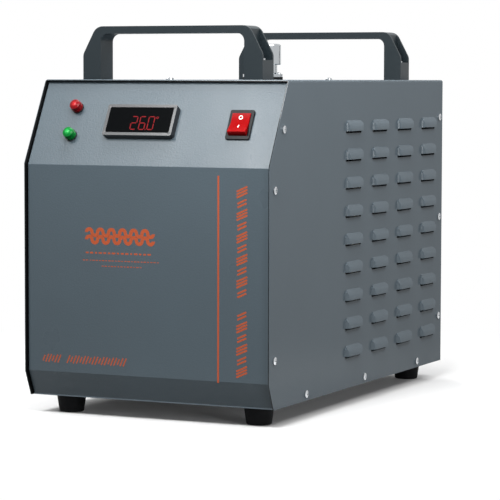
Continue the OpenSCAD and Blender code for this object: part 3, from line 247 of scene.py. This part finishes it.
@dataclass(frozen=True)
class Finish:
    """A finish for one kind of surface: its colour, gloss and grain."""

    name: str
    colour: str
    roughness: float = 0.5
    metallic: float = 0.0
    grain_scale: float = 900.0
    grain_depth: float = 0.00002
    grain_tone: float = 0.04
    drift_scale: float = 14.0
    drift_amount: float = 0.08
    rough_swing: float = 0.1
    specular: float = 0.5
    drift_span: tuple[float, float] = (0.3, 0.7)

    @cache
    def material(self) -> bpy.types.Material:
        """Builds the material, once.

        Returns:
            The material of this finish.
        """
        made = bpy.data.materials.new(self.name)
        made.use_nodes = True
        made.node_tree.nodes.clear()
        sheet = NodeSheet(made.node_tree)
        shader = sheet.add(
            "ShaderNodeBsdfPrincipled", {"Metallic": self.metallic, "Specular IOR Level": self.specular}
        )
        grain = sheet.add("ShaderNodeGroup", {"Scale": self.grain_scale}, node_tree=Effect.grain())
        drift = sheet.add(
            "ShaderNodeGroup",
            {"Colour": (*linear(self.colour), 1), "Scale": self.drift_scale, "Amount": self.drift_amount},
            node_tree=Effect.drift(),
        )
        speck = sheet.math("MULTIPLY", grain.outputs["Mask"], self.grain_tone)
        colour = self.paint(sheet, sheet.blend(speck, drift.outputs["Colour"], (0.0, 0.0, 0.0)))
        made.node_tree.links.new(colour, shader.inputs["Base Color"])
        low, high = self.drift_span
        rough = sheet.add(
            "ShaderNodeMapRange",
            {
                "Value": drift.outputs["Mask"],
                "From Min": low,
                "From Max": high,
                "To Min": self.roughness - self.rough_swing / 2,
                "To Max": self.roughness + self.rough_swing / 2,
            },
        )
        made.node_tree.links.new(rough.outputs[0], shader.inputs["Roughness"])
        bump = sheet.add(
            "ShaderNodeBump",
            {"Height": grain.outputs["Height"], "Strength": 1.0, "Distance": self.grain_depth},
        )
        made.node_tree.links.new(bump.outputs["Normal"], shader.inputs["Normal"])
        self.dress(shader)
        sheet.add("ShaderNodeOutputMaterial", {"Surface": shader.outputs[0]}, is_active_output=True)
        return made

    def paint(self, sheet: NodeSheet, colour: bpy.types.NodeSocket) -> bpy.types.NodeSocket:
        """Changes the colour where a kind of finish needs it; a plain finish keeps it."""
        return colour

    def dress(self, shader: bpy.types.Node) -> None:
        """Sets what else the shader of a kind of finish needs; a plain finish needs nothing."""


@dataclass(frozen=True)
class Glossy(Finish):
    """A finish under a clear, smooth skin."""

    coat: float = 0.5
    coat_roughness: float = 0.1

    def dress(self, shader: bpy.types.Node) -> None:
        """Gives the shader its coat."""
        shader.inputs["Coat Weight"].default_value = self.coat
        shader.inputs["Coat Roughness"].default_value = self.coat_roughness


@dataclass(frozen=True)
class CasePaint(Glossy):
    """Powder paint on the sheet steel, with painted shade where the sheets face the inside of the case."""

    coat: float = 0.0
    half: float = 0.1346
    top: float = 0.3358
    # painted shade: the near-black colour painted on the case's inner faces
    painted_inner_shade: str = "0b0c0d"

    def paint(self, sheet: NodeSheet, colour: bpy.types.NodeSocket) -> bpy.types.NodeSocket:
        """Paints shade on the colour inside the case.

        Args:
            sheet: The material's sheet.
            colour: The colour outside.

        Returns:
            The socket of the colour with its painted shade inside.
        """
        # painted shade: blends the near-black colour in wherever the mask marks the inside of the case
        mask = sheet.add("ShaderNodeGroup", {"Half": self.half, "Top": self.top}, node_tree=Effect.inside())
        return sheet.blend(mask.outputs["Mask"], colour, linear(self.painted_inner_shade))


@dataclass(frozen=True)
class Clear(Finish):
    """A clear or tinted plastic that light passes through."""

    transmission: float = 0.8
    ior: float = 1.49

    def dress(self, shader: bpy.types.Node) -> None:
        """Lets light through the shader."""
        shader.inputs["Transmission Weight"].default_value = self.transmission
        shader.inputs["IOR"].default_value = self.ior


@dataclass(frozen=True)
class Glowing(Finish):
    """A finish that gives light of its own colour."""

    strength: float = 1.0

    def dress(self, shader: bpy.types.Node) -> None:
        """Makes the shader glow."""
        shader.inputs["Emission Color"].default_value = (*linear(self.colour), 1)
        shader.inputs["Emission Strength"].default_value = self.strength


@dataclass(frozen=True)
class LampLens(Glossy):
    """Tinted lens with painted light: its colour is painted lighter round the top of its dome."""

    roughness: float = 0.22
    grain_scale: float = 1500.0
    specular: float = 0.06
    coat: float = 0.08
    # painted light: the lighter colour painted round the top of the dome
    painted_light: str = "ffffff"
    painted_light_share: float = 0.75
    at: tuple[float, float, float] = (0.0, 0.0, 0.0)
    reach: float = 0.004

    def paint(self, sheet: NodeSheet, colour: bpy.types.NodeSocket) -> bpy.types.NodeSocket:
        """Paints light on the colour round the top of the lens's dome.

        Args:
            sheet: The material's sheet.
            colour: The colour at the rim.

        Returns:
            The socket of the colour with its painted light in the middle.
        """
        place = sheet.add("ShaderNodeTexCoord").outputs["Object"]
        away = sheet.add("ShaderNodeVectorMath", {0: place, 1: self.at}, operation="DISTANCE")
        near = sheet.add(
            "ShaderNodeMapRange",
            {
                "Value": away.outputs["Value"],
                "From Min": self.reach,
                "From Max": 0.0,
                "To Max": self.painted_light_share,
            },
            interpolation_type="SMOOTHSTEP",
        )
        # painted light: blends the lighter colour in near the dome's top
        return sheet.blend(near.outputs[0], colour, linear(self.painted_light))


class Finishes(Enum):
    """The finishes on the chiller that need no place of their own."""

    # the hood's inner faces get painted shade from CasePaint
    HOOD = CasePaint(
        "hood_paint", "535d64", 0.32, grain_scale=650.0, grain_depth=0.00003, specular=0.0,
        coat=0.3, coat_roughness=0.16,
    )
    FRONT = CasePaint(
        "front_paint", "444f56", 0.32, grain_scale=560.0, grain_depth=0.00015, specular=0.22,
        half=0.1318, top=0.0,
    )
    CHASSIS = Finish("chassis_paint", "4b565e", 0.42, grain_scale=650.0, grain_depth=0.00005, specular=0.4)
    HANDLE = Finish("handle_plastic", "182024", 0.42, grain_scale=1400.0, grain_depth=0.00004, specular=0.24)
    BLACK = Finish("black_plastic", "17191b", 0.38, grain_scale=1600.0)
    FRAME = Finish("frame_plastic", "0c0e10", 0.3, grain_scale=1600.0, specular=0.06)
    BEZEL = Glossy("bezel_plastic", "1d1f22", 0.32, specular=0.35, coat=0.12, coat_roughness=0.2)
    RUBBER = Finish("foot_rubber", "07080a", 0.75, grain_scale=1300.0, grain_depth=0.00003, specular=0.12)
    HOSE = Finish("hose_rubber", "191a1c", 0.6, grain_scale=900.0, grain_depth=0.00003)
    NICKEL = Finish(
        "nickel_plate", "c2c5c8", 0.24, 1.0, grain_scale=2200.0, grain_depth=0.000004, rough_swing=0.15
    )
    CHROME = Finish(
        "chrome_plate", "b6babd", 0.2, 1.0, grain_scale=1800.0, grain_depth=0.000002, rough_swing=0.08
    )
    BRASS = Finish(
        "bare_brass", "c79a4c", 0.3, 1.0, grain_scale=1500.0, grain_depth=0.000004, rough_swing=0.15
    )
    ALUMINIUM = Finish("bare_aluminium", "b9bdc0", 0.4, 1.0, grain_scale=1200.0, grain_depth=0.000005)
    WINDOW = Finish("dark_window", "060708", 0.3, grain_scale=400.0, grain_depth=0.0, specular=0.004)
    ROCKER = Finish("red_plastic", "7c0608", 0.3, specular=0.03)
    TANK = Finish("tank_plastic", "dcdcd2", 0.45, grain_scale=500.0)
    TUBE = Clear("gauge_tube", "eef4f5", 0.1, grain_depth=0.0)
    MARK = Finish("white_ink", "f2eeea", 0.5)
    INK = Finish("orange_ink", "963f18", 0.55, grain_scale=1500.0, drift_amount=0.12)
    SEGMENT = Glowing("lit_segment", "5c1215", 0.4, specular=0.02, strength=0.9)


NODE_FINISHES: dict[Finishes, tuple[str, ...]] = {
    Finishes.HOOD: ("hood",),
    Finishes.FRONT: ("front_panel",),
    Finishes.CHASSIS: ("base_tray", "rear_panel"),
    Finishes.HANDLE: ("front_handle", "rear_handle"),
    Finishes.BLACK: (
        "fan_frame", "fan_rotor", "gauge_holder",
        "drain_cap", "power_inlet", "fuse_drawer", "pump_body", "flow_switch",
    ),
    Finishes.FRAME: ("switch_frame",),
    Finishes.BEZEL: ("display_bezel", "red_lamp_holder", "green_lamp_holder"),
    Finishes.RUBBER: (
        "foot_front_left", "foot_front_right", "foot_rear_left", "foot_rear_right",
        "filler_gasket", "cap_seal",
    ),
    Finishes.HOSE: ("suction_hose", "delivery_hose", "outlet_hose", "return_hose", "tank_hose"),
    Finishes.NICKEL: (
        "side_screws", "top_screws", "handle_screws", "handle_nuts", "foot_screws", "filler_screws",
        "filler_strainer", "fan_screws", "power_pins", "alarm_socket", "pump_impeller",
    ),
    Finishes.CHROME: ("filler_neck", "filler_cap", "fan_guard"),
    Finishes.BRASS: ("water_inlet", "water_outlet", "fitting_nuts", "drain_fitting", "alarm_pins"),
    Finishes.ALUMINIUM: ("core_frame", "core_fins", "control_box"),
    Finishes.WINDOW: ("display_window",),
    Finishes.ROCKER: ("rocker_button",),
    Finishes.TANK: ("water_tank",),
    Finishes.TUBE: ("gauge_tube",),
}


@dataclass(frozen=True)
class EdgeRule:
    """How wide the broken edges of a solid are, and from what angle an edge counts."""

    width: float
    angle: float = math.radians(40)
    segments: int = 2


EDGE_RULES: dict[EdgeRule, tuple[str, ...]] = {
    EdgeRule(0.0012, segments=3): ("front_handle", "rear_handle"),
    EdgeRule(0.0006): (
        "display_bezel", "foot_front_left", "foot_front_right", "foot_rear_left", "foot_rear_right",
        "fuse_drawer", "power_inlet", "gauge_holder", "drain_cap",
    ),
    EdgeRule(0.0004): ("switch_frame", "rocker_button", "fan_frame", "control_box", "flow_switch"),
    EdgeRule(0.0004, math.radians(50), 3): ("red_lamp_lens", "green_lamp_lens"),
    EdgeRule(0.0005, math.radians(18), 3): ("front_panel",),
}


class SolidDresser:
    """Gives each solid its finish, smooth curved faces and broken edges."""

    WELD = 0.000002
    SHARP_FROM = math.radians(33)
    SHAPE = {"Geometry": "NodeSocketGeometry"}

    def __init__(self) -> None:
        """Builds the two modifier trees that all solids share."""
        self.weld = self.weld_tree()
        self.smooth = self.smooth_tree()

    def weld_tree(self) -> bpy.types.NodeTree:
        """Joins the loose triangles of a solid along their edges.

        Returns:
            The geometry tree.
        """
        tree, sheet, given, out = start_group("JoinTriangles", "GeometryNodeTree", self.SHAPE, self.SHAPE)
        joined = sheet.add(
            "GeometryNodeMergeByDistance", {"Geometry": given.outputs[0], "Distance": self.WELD}
        )
        shaded = sheet.add("GeometryNodeSetShadeSmooth", {"Geometry": joined.outputs[0]}, domain="FACE")
        tree.links.new(shaded.outputs[0], out.inputs[0])
        return tree

    def smooth_tree(self) -> bpy.types.NodeTree:
        """Shades a solid smooth, apart from its sharp edges.

        Returns:
            The geometry tree.
        """
        tree, sheet, given, out = start_group(
            "SmoothCurvedFaces", "GeometryNodeTree", self.SHAPE, self.SHAPE
        )
        bend = sheet.add("GeometryNodeInputMeshEdgeAngle")
        soft = sheet.add(
            "FunctionNodeCompare", {0: bend.outputs[0], 1: self.SHARP_FROM},
            data_type="FLOAT", operation="LESS_EQUAL",
        )
        shaded = sheet.add(
            "GeometryNodeSetShadeSmooth",
            {"Geometry": given.outputs[0], "Shade Smooth": soft.outputs[0]},
            domain="EDGE",
        )
        tree.links.new(shaded.outputs[0], out.inputs[0])
        return tree

    def dress(self, name: str, finish: bpy.types.Material, rule: EdgeRule | None) -> None:
        """Dresses one solid.

        Args:
            name: The node's name.
            finish: Its material.
            rule: Its broken edges, if it has any.
        """
        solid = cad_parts[name]
        solid.data.materials.clear()
        solid.data.materials.append(finish)
        solid.modifiers.new("join", "NODES").node_group = self.weld
        if rule:
            bevel = solid.modifiers.new("edges", "BEVEL")
            bevel.width = rule.width
            bevel.segments = rule.segments
            bevel.limit_method = "ANGLE"
            bevel.angle_limit = rule.angle
        solid.modifiers.new("smooth", "NODES").node_group = self.smooth
        weighted = solid.modifiers.new("weighted", "WEIGHTED_NORMAL")
        weighted.keep_sharp = True

    def dress_all(self, lenses: dict[str, Finish]) -> None:
        """Dresses every solid.

        Args:
            lenses: Finishes of the nodes whose finish depends on their place.
        """
        rules = {name: rule for rule, names in EDGE_RULES.items() for name in names}
        looks = {name: finish.value for finish, names in NODE_FINISHES.items() for name in names}
        looks.update(lenses)
        for name, finish in looks.items():
            self.dress(name, finish.material(), rules.get(name))
            LOG.info("%s: %s", name, finish.name)


def finish_piece(name: str, bm: bmesh.types.BMesh, finish: Finish, body: str, place: Matrix) -> None:
    """Turns a bmesh into a finished piece that rides on a body.

    Args:
        name: The piece's name.
        bm: Its shape.
        finish: Its finish.
        body: The body that carries it.
        place: Where it goes, applied to its mesh.
    """
    bmesh.ops.remove_doubles(bm, verts=bm.verts, dist=SAME_POINT)
    bmesh.ops.transform(bm, matrix=place, verts=bm.verts)
    bmesh.ops.recalc_face_normals(bm, faces=bm.faces)
    mesh = bpy.data.meshes.new(name)
    bm.to_mesh(mesh)
    bm.free()
    mesh.materials.append(finish.material())
    piece = bpy.data.objects.new(name, mesh)
    bpy.context.scene.collection.objects.link(piece)
    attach(piece, body)
    LOG.info("%s: %d faces on %s", name, len(mesh.polygons), body)


class PrintSheet:
    """Flat printed shapes, drawn on the plane z = 0 and given a small thickness."""

    ROUND_STEPS = 28
    LEAST_STEPS = 6

    def __init__(self) -> None:
        """Starts with no shapes."""
        self.bm = bmesh.new()

    def plate(self, x: float, y: float, w: float, h: float, turn: float = 0.0) -> None:
        """Adds a filled rectangle.

        Args:
            x: Its middle across.
            y: Its middle upwards.
            w: Its width.
            h: Its height.
            turn: How far it is turned, in radians.
        """
        turned = Matrix.Translation((x, y, 0)) @ Matrix.Rotation(turn, 4, "Z")
        place = turned @ Matrix.Diagonal((w / 2, h / 2, 1, 1))
        bmesh.ops.create_grid(self.bm, x_segments=1, y_segments=1, size=1, matrix=place)

    def ring(
        self, x: float, y: float, radius: float, line: float, start: float = 0.0, sweep: float = math.tau
    ) -> None:
        """Adds a round ring or a part of one.

        Args:
            x: Its middle across.
            y: Its middle upwards.
            radius: From the middle to the middle of the line.
            line: How thick the line is.
            start: Where it starts, in radians.
            sweep: How far it goes round, in radians.
        """
        whole = math.isclose(sweep, math.tau)
        ends = [
            self.bm.verts.new((x + r * math.cos(start), y + r * math.sin(start), 0))
            for r in (radius - line / 2, radius + line / 2)
        ]
        edge = self.bm.edges.new(ends)
        bmesh.ops.spin(
            self.bm, geom=[*ends, edge], cent=(x, y, 0), axis=(0, 0, 1), angle=sweep,
            steps=max(self.LEAST_STEPS, round(self.ROUND_STEPS * sweep / math.tau)), use_merge=whole,
        )

    def thicken(self, depth: float) -> bmesh.types.BMesh:
        """Gives every shape its thickness, upwards from the plane.

        Args:
            depth: How thick the shapes become.

        Returns:
            The bmesh of all shapes.
        """
        bmesh.ops.remove_doubles(self.bm, verts=self.bm.verts, dist=SAME_POINT)
        bmesh.ops.recalc_face_normals(self.bm, faces=self.bm.faces)
        facing_up = [f for f in self.bm.faces if f.normal.z > 0]
        bmesh.ops.reverse_faces(self.bm, faces=facing_up)
        base = list(self.bm.faces)
        grown = bmesh.ops.extrude_face_region(self.bm, geom=base, use_keep_orig=True)
        lifted = [g for g in grown["geom"] if isinstance(g, bmesh.types.BMVert)]
        bmesh.ops.translate(self.bm, vec=(0, 0, depth), verts=lifted)
        return self.bm


@dataclass(frozen=True)
class DashRow:
    """A row of printed dashes: its ends, its height on the front, and how tall and how many they are."""

    left: float
    right: float
    z: float
    tall: float
    count: int
    share: float = 0.62
    swing: float = 0.2
    beat: float = 2.4

    def draw(self, sheet: PrintSheet) -> None:
        """Draws the row; the dashes' lengths swing about their share of the pitch.

        Args:
            sheet: Where they are drawn.
        """
        pitch = (self.right - self.left) / self.count
        for i in range(self.count):
            part = self.share + self.swing * math.sin(self.beat * i)
            sheet.plate(self.left + (i + 0.5) * pitch, self.z, pitch * part, self.tall)


@dataclass
class FrontPrint:
    """Orange print on the front: a line with a strip of slanted bars, a wave mark and rows of dashes."""

    plane_y: float = -0.241
    depth: float = 0.00006
    line_x: float = 0.0788
    line_w: float = 0.0019
    line_low: float = 0.0435
    line_high: float = 0.2444
    strip_x: float = 0.1040
    strip_w: float = 0.0132
    strip_low: float = 0.0500
    strip_high: float = 0.2345
    strip_marks: int = 17
    strip_blank: int = 10
    strip_lift: float = 0.27
    group_of_three: tuple[float, ...] = (-1, 0, 1)
    group_of_two: tuple[float, ...] = (-0.6, 0.6)
    three_width: float = 0.94
    two_width: float = 0.8
    stroke: float = 0.0018
    slant: float = math.radians(24)
    wave_x: float = -0.0290
    wave_z: float = 0.1822
    wave_w: float = 0.0745
    wave_line: float = 0.0036
    wave_count: int = 6
    wave_lift: float = 0.0036
    rows: tuple[DashRow, ...] = (
        DashRow(-0.0680, 0.0060, 0.1655, 0.0016, 15),
        DashRow(-0.0710, 0.0150, 0.1580, 0.0009, 24),
        DashRow(-0.0500, -0.0040, 0.1525, 0.0009, 13),
    )
    foot_x: float = -0.0695
    foot_z: float = 0.0580
    foot_w: float = 0.0950
    foot_h: float = 0.0088
    foot_marks: int = 27
    foot_blanks: tuple[int, ...] = (6, 7)
    foot_mark_width: float = 0.38
    foot_short: float = 0.7

    def strip(self, sheet: PrintSheet) -> None:
        """Draws the upright strip: slanted bars in groups of three and two, with one blank.

        Args:
            sheet: Where they are drawn.
        """
        pitch = (self.strip_high - self.strip_low) / self.strip_marks
        groups = ((self.group_of_three, self.three_width), (self.group_of_two, self.two_width))
        for i in range(self.strip_marks):
            if i == self.strip_blank:
                continue
            z = self.strip_high - (i + 0.5) * pitch
            lifts, share = groups[i % 2]
            for lift in lifts:
                height = z + lift * pitch * self.strip_lift
                sheet.plate(self.strip_x, height, self.strip_w * share, self.stroke, self.slant)

    def wave(self, sheet: PrintSheet) -> None:
        """Draws the wave mark: two wavy lines of half rings.

        Args:
            sheet: Where they are drawn.
        """
        radius = self.wave_w / (4 * self.wave_count)
        for height in (self.wave_z - self.wave_lift, self.wave_z + self.wave_lift):
            for i in range(2 * self.wave_count):
                x = self.wave_x - self.wave_w / 2 + (2 * i + 1) * radius
                start = 0.0 if i % 2 == 0 else math.pi
                sheet.ring(x, height, radius, self.wave_line, start, math.pi)

    def foot(self, sheet: PrintSheet) -> None:
        """Draws the row of slanted bars low on the left, with a gap after the sixth.

        Args:
            sheet: Where they are drawn.
        """
        pitch = self.foot_w / self.foot_marks
        for i in range(self.foot_marks):
            if i in self.foot_blanks:
                continue
            x = self.foot_x - self.foot_w / 2 + (i + 0.5) * pitch
            tall = self.foot_h * (1.0 if i % 3 else self.foot_short)
            sheet.plate(x, self.foot_z, pitch * self.foot_mark_width, tall, -self.slant)

    def build(self) -> None:
        """Builds the print."""
        sheet = PrintSheet()
        middle = (self.line_low + self.line_high) / 2
        sheet.plate(self.line_x, middle, self.line_w, self.line_high - self.line_low)
        self.strip(sheet)
        self.wave(sheet)
        for row in self.rows:
            row.draw(sheet)
        self.foot(sheet)
        upright = Matrix.Translation((0, self.plane_y, 0)) @ Matrix.Rotation(math.pi / 2, 4, "X")
        finish_piece("front_print", sheet.thicken(self.depth), Finishes.INK.value, "case", upright)


@dataclass(frozen=True)
class ControlSlope:
    """The sloped face: the frame in which its lit digits, switch marks and lenses are placed."""

    front_y: float = -0.245
    fold_z: float = 0.253
    recess: float = 0.004
    run: float = 0.044
    rise: float = 0.0835

    def at(self, x: float, v: float, w: float) -> Matrix:
        """Place on the slope.

        Args:
            x: Across, from the middle of the case.
            v: Up the slope from the fold.
            w: Out of the panel's outer face.

        Returns:
            A matrix whose Z points out of the slope.
        """
        turn = Matrix.Rotation(math.atan2(self.rise, self.run), 4, "X")
        fold = Matrix.Translation((0, self.front_y, self.fold_z)) @ turn
        return fold @ Matrix.Translation((x, v, w - self.recess))


@dataclass
class DisplayDigits:
    """Lit seven-segment digits behind the display's window, with the mark for degrees."""

    slope: ControlSlope = ControlSlope()
    x: float = -0.0116
    v: float = 0.0451
    w: float = 0.0063
    digit_w: float = 0.0072
    digit_h: float = 0.0150
    pitch: float = 0.0094
    stroke: float = 0.0010
    bar_gap: float = 0.0003
    post_gap: float = 0.0006
    degree_x: float = 0.0012
    degree_drop: float = 0.0016
    degree_radius: float = 0.0010
    degree_line: float = 0.0005
    depth: float = 0.00005
    segments: tuple[str, ...] = ("abged", "afgedc", "abcdef")

    def segment(self, sheet: PrintSheet, x: float, key: str) -> None:
        """Draws one segment of the digit about x.

        Args:
            sheet: Where it is drawn.
            x: Middle of the digit.
            key: The segment's usual letter, from a to g.
        """
        half = self.digit_h / 2 - self.stroke / 2
        side = (self.digit_w - self.stroke) / 2
        long = self.digit_w - 2 * self.stroke - self.bar_gap
        tall = half - self.stroke / 2 - self.post_gap
        if key in "adg":
            sheet.plate(x, {"a": half, "g": 0.0, "d": -half}[key], long, self.stroke)
        else:
            up = 1 if key in "bf" else -1
            sheet.plate(x + (side if key in "bc" else -side), up * half / 2, self.stroke, tall)

    def build(self) -> None:
        """Builds the digits, the point and the degree mark."""
        sheet = PrintSheet()
        for i, keys in enumerate(self.segments):
            for key in keys:
                self.segment(sheet, (i - 1) * self.pitch, key)
        sheet.plate(self.pitch / 2, -self.digit_h / 2 + self.stroke / 2, self.stroke, self.stroke)
        sheet.ring(
            1.5 * self.pitch + self.degree_x, self.digit_h / 2 - self.degree_drop,
            self.degree_radius, self.degree_line,
        )
        finish_piece(
            "display_digits", sheet.thicken(self.depth), Finishes.SEGMENT.value, "case",
            self.slope.at(self.x, self.v, self.w),
        )


@dataclass
class SwitchMarks:
    """The ring and the bar on the two halves of the rocker."""

    slope: ControlSlope = ControlSlope()
    x: float = 0.0922
    v: float = 0.0469
    tilt: float = math.radians(10)
    valley: float = 0.0030
    ring_away: float = 0.0066
    ring_radius: float = 0.0018
    ring_line: float = 0.0007
    bar_away: float = 0.0038
    bar_w: float = 0.0008
    bar_h: float = 0.0034
    depth: float = 0.00006

    def half(self, up: int, away: float) -> Matrix:
        """Place on one half of the rocker.

        Args:
            up: 1 for the upper half, -1 for the lower one.
            away: Distance from the valley between them.

        Returns:
            A matrix whose Z points out of that half.
        """
        rocker = self.slope.at(self.x, self.v, 0) @ Matrix.Rotation(-self.tilt, 4, "X")
        top = Matrix.Translation((0, 0, self.valley)) @ Matrix.Rotation(up * self.tilt, 4, "X")
        return rocker @ top @ Matrix.Translation((0, up * away, 0))

    def build(self) -> None:
        """Builds both marks."""
        white = Finishes.MARK.value
        ring = PrintSheet()
        ring.ring(0, 0, self.ring_radius, self.ring_line)
        place = self.half(1, self.ring_away)
        finish_piece("switch_off_mark", ring.thicken(self.depth), white, "rocker", place)
        bar = PrintSheet()
        bar.plate(0, 0, self.bar_w, self.bar_h)
        place = self.half(-1, self.bar_away)
        finish_piece("switch_on_mark", bar.thicken(self.depth), white, "rocker", place)


@dataclass
class Lamps:
    """Finishes of the two lamps, each with painted light in the middle of its dome."""

    slope: ControlSlope = ControlSlope()
    x: float = -0.0918
    red_v: float = 0.0642
    green_v: float = 0.0334
    dome: float = 0.0100

    def finishes(self) -> dict[str, Finish]:
        """Finishes of the two lenses.

        Returns:
            Each lens's finish, by node.
        """
        red = tuple(self.slope.at(self.x, self.red_v, self.dome).translation)
        green = tuple(self.slope.at(self.x, self.green_v, self.dome).translation)
        return {
            # painted light: each lens gets a lighter colour painted round the top of its dome
            "red_lamp_lens": LampLens("red_lens", "6c0a10", painted_light="b02c2e", at=red),
            "green_lamp_lens": LampLens("green_lens", "046426", painted_light="30a850", at=green),
        }


@dataclass(frozen=True)
class Softbox:
    """A square studio lamp."""

    name: str
    place: tuple[float, float, float]
    size: float
    power: float

    def build(self, target: Vector) -> None:
        """Builds the lamp.

        Args:
            target: What it faces.
        """
        lamp = bpy.data.lights.new(self.name, "AREA")
        lamp.size = self.size
        lamp.energy = self.power
        thing = bpy.data.objects.new(self.name, lamp)
        thing.location = self.place
        thing.rotation_euler = (target - Vector(self.place)).to_track_quat("-Z", "Y").to_euler()
        bpy.context.scene.collection.objects.link(thing)


@dataclass
class Studio:
    """Floor, world, lamps and camera."""

    floor_size: float = 30.0
    floor_tone: float = 0.76
    floor_glow: float = 0.03
    floor_bounce: float = 0.02
    clear_from: float = 0.32
    clear_to: float = 0.7
    world_light: float = 0.1
    azimuth: float = math.radians(25.07)
    elevation: float = math.radians(4.18)
    roll: float = math.radians(0.13)
    lens: float = 169.51
    sensor: float = 36.0
    sight: float = 100.0
    eye: tuple[float, float, float] = (1.0668, -2.2808, 0.3384)
    lamps: tuple[Softbox, ...] = (
        Softbox("overhead", (0.15, 0.35, 1.9), 1.5, 12.0),
        Softbox("above_slope", (0.0, -0.12, 1.15), 0.5, 9.0),
        Softbox("above_front", (-0.48, -1.25, 1.46), 0.6, 27.0),
        Softbox("near_front", (0.20, -0.58, 0.66), 0.3, 4.2),
        Softbox("far_right", (3.50, -2.05, 0.60), 1.1, 56.0),
        Softbox("right_side", (0.84, 0.0, 0.90), 0.4, 6.6),
        Softbox("rear_left", (-1.35, 1.55, 1.15), 1.0, 30.0),
    )

    def floor(self) -> None:
        """Builds the floor: lit and shaded near the chiller, plain white further off."""
        bm = bmesh.new()
        bmesh.ops.create_grid(bm, x_segments=1, y_segments=1, size=self.floor_size / 2)
        mesh = bpy.data.meshes.new("floor")
        bm.to_mesh(mesh)
        bm.free()
        thing = bpy.data.objects.new("floor", mesh)
        bpy.context.scene.collection.objects.link(thing)
        mesh.materials.append(self.floor_material())

    def floor_material(self) -> bpy.types.Material:
        """Builds the floor's material.

        Returns:
            A pale matt surface that ends in white for the camera and for reflections.
        """
        made = bpy.data.materials.new("studio_floor")
        made.use_nodes = True
        made.node_tree.nodes.clear()
        sheet = NodeSheet(made.node_tree)
        seen = self.seen(sheet)
        tone = sheet.add(
            "ShaderNodeMapRange", {"Value": seen, "To Min": self.floor_bounce, "To Max": self.floor_tone}
        )
        matt = sheet.add("ShaderNodeBsdfDiffuse", {"Color": tone.outputs[0]})
        white = sheet.add("ShaderNodeEmission", {"Color": (1, 1, 1, 1), "Strength": 1.0})
        place = sheet.add("ShaderNodeTexCoord").outputs["Object"]
        away = sheet.add("ShaderNodeVectorMath", {0: place}, operation="LENGTH")
        far = sheet.add(
            "ShaderNodeMapRange",
            {
                "Value": away.outputs["Value"],
                "From Min": self.clear_from,
                "From Max": self.clear_to,
                "To Min": self.floor_glow,
            },
            interpolation_type="SMOOTHSTEP",
        )
        share = sheet.math("MULTIPLY", far.outputs[0], seen)
        both = sheet.add("ShaderNodeMixShader", {0: share, 1: matt.outputs[0], 2: white.outputs[0]})
        sheet.add("ShaderNodeOutputMaterial", {"Surface": both.outputs[0]})
        return made

    @staticmethod
    def seen(sheet: NodeSheet) -> bpy.types.NodeSocket:
        """Masks what is seen by the camera, in a reflection or through glass.

        Args:
            sheet: The sheet of the material or world.

        Returns:
            The mask's socket.
        """
        path = sheet.add("ShaderNodeLightPath")
        first = sheet.math("MAXIMUM", path.outputs["Is Camera Ray"], path.outputs["Is Glossy Ray"])
        return sheet.math("MAXIMUM", first, path.outputs["Is Transmission Ray"])

    def world(self) -> None:
        """Builds the world: white to look at, and a weaker light on the chiller."""
        scene = bpy.context.scene
        scene.world = scene.world or bpy.data.worlds.new("studio")
        scene.world.use_nodes = True
        scene.world.node_tree.nodes.clear()
        sheet = NodeSheet(scene.world.node_tree)
        strength = sheet.add(
            "ShaderNodeMapRange", {"Value": self.seen(sheet), "To Min": self.world_light, "To Max": 1.0}
        )
        back = sheet.add("ShaderNodeBackground", {"Color": (1, 1, 1, 1), "Strength": strength.outputs[0]})
        sheet.add("ShaderNodeOutputWorld", {"Surface": back.outputs[0]})

    def camera(self) -> None:
        """Builds the camera at the photograph's viewing angle."""
        a, e = self.azimuth, self.elevation
        back = Vector((math.sin(a) * math.cos(e), -math.cos(a) * math.cos(e), math.sin(e)))
        right = Vector((math.cos(a), math.sin(a), 0))
        up = back.cross(right)
        turned = right * math.cos(self.roll) + up * math.sin(self.roll)
        upright = up * math.cos(self.roll) - right * math.sin(self.roll)
        data = bpy.data.cameras.new("camera")
        data.sensor_width = self.sensor
        data.sensor_fit = "HORIZONTAL"
        data.lens = self.lens
        data.clip_end = self.sight
        eye = bpy.data.objects.new("camera", data)
        turn = Matrix((turned, upright, back)).transposed().to_4x4()
        eye.matrix_world = Matrix.Translation(self.eye) @ turn
        bpy.context.scene.collection.objects.link(eye)
        bpy.context.scene.camera = eye

    def build(self) -> None:
        """Builds everything round the chiller."""
        bpy.context.scene.view_settings.view_transform = "Standard"
        self.floor()
        self.world()
        self.camera()
        for lamp in self.lamps:
            lamp.build(mid("hood"))
        LOG.info("studio: %d lamps", len(self.lamps))


def main() -> None:
    """Builds the looks, the light and the camera."""
    logging.basicConfig(level=logging.INFO, format="%(name)s: %(message)s")
    SolidDresser().dress_all(Lamps().finishes())
    FrontPrint().build()
    DisplayDigits().build()
    SwitchMarks().build()
    Studio().build()


if __name__ == "__main__":
    main()
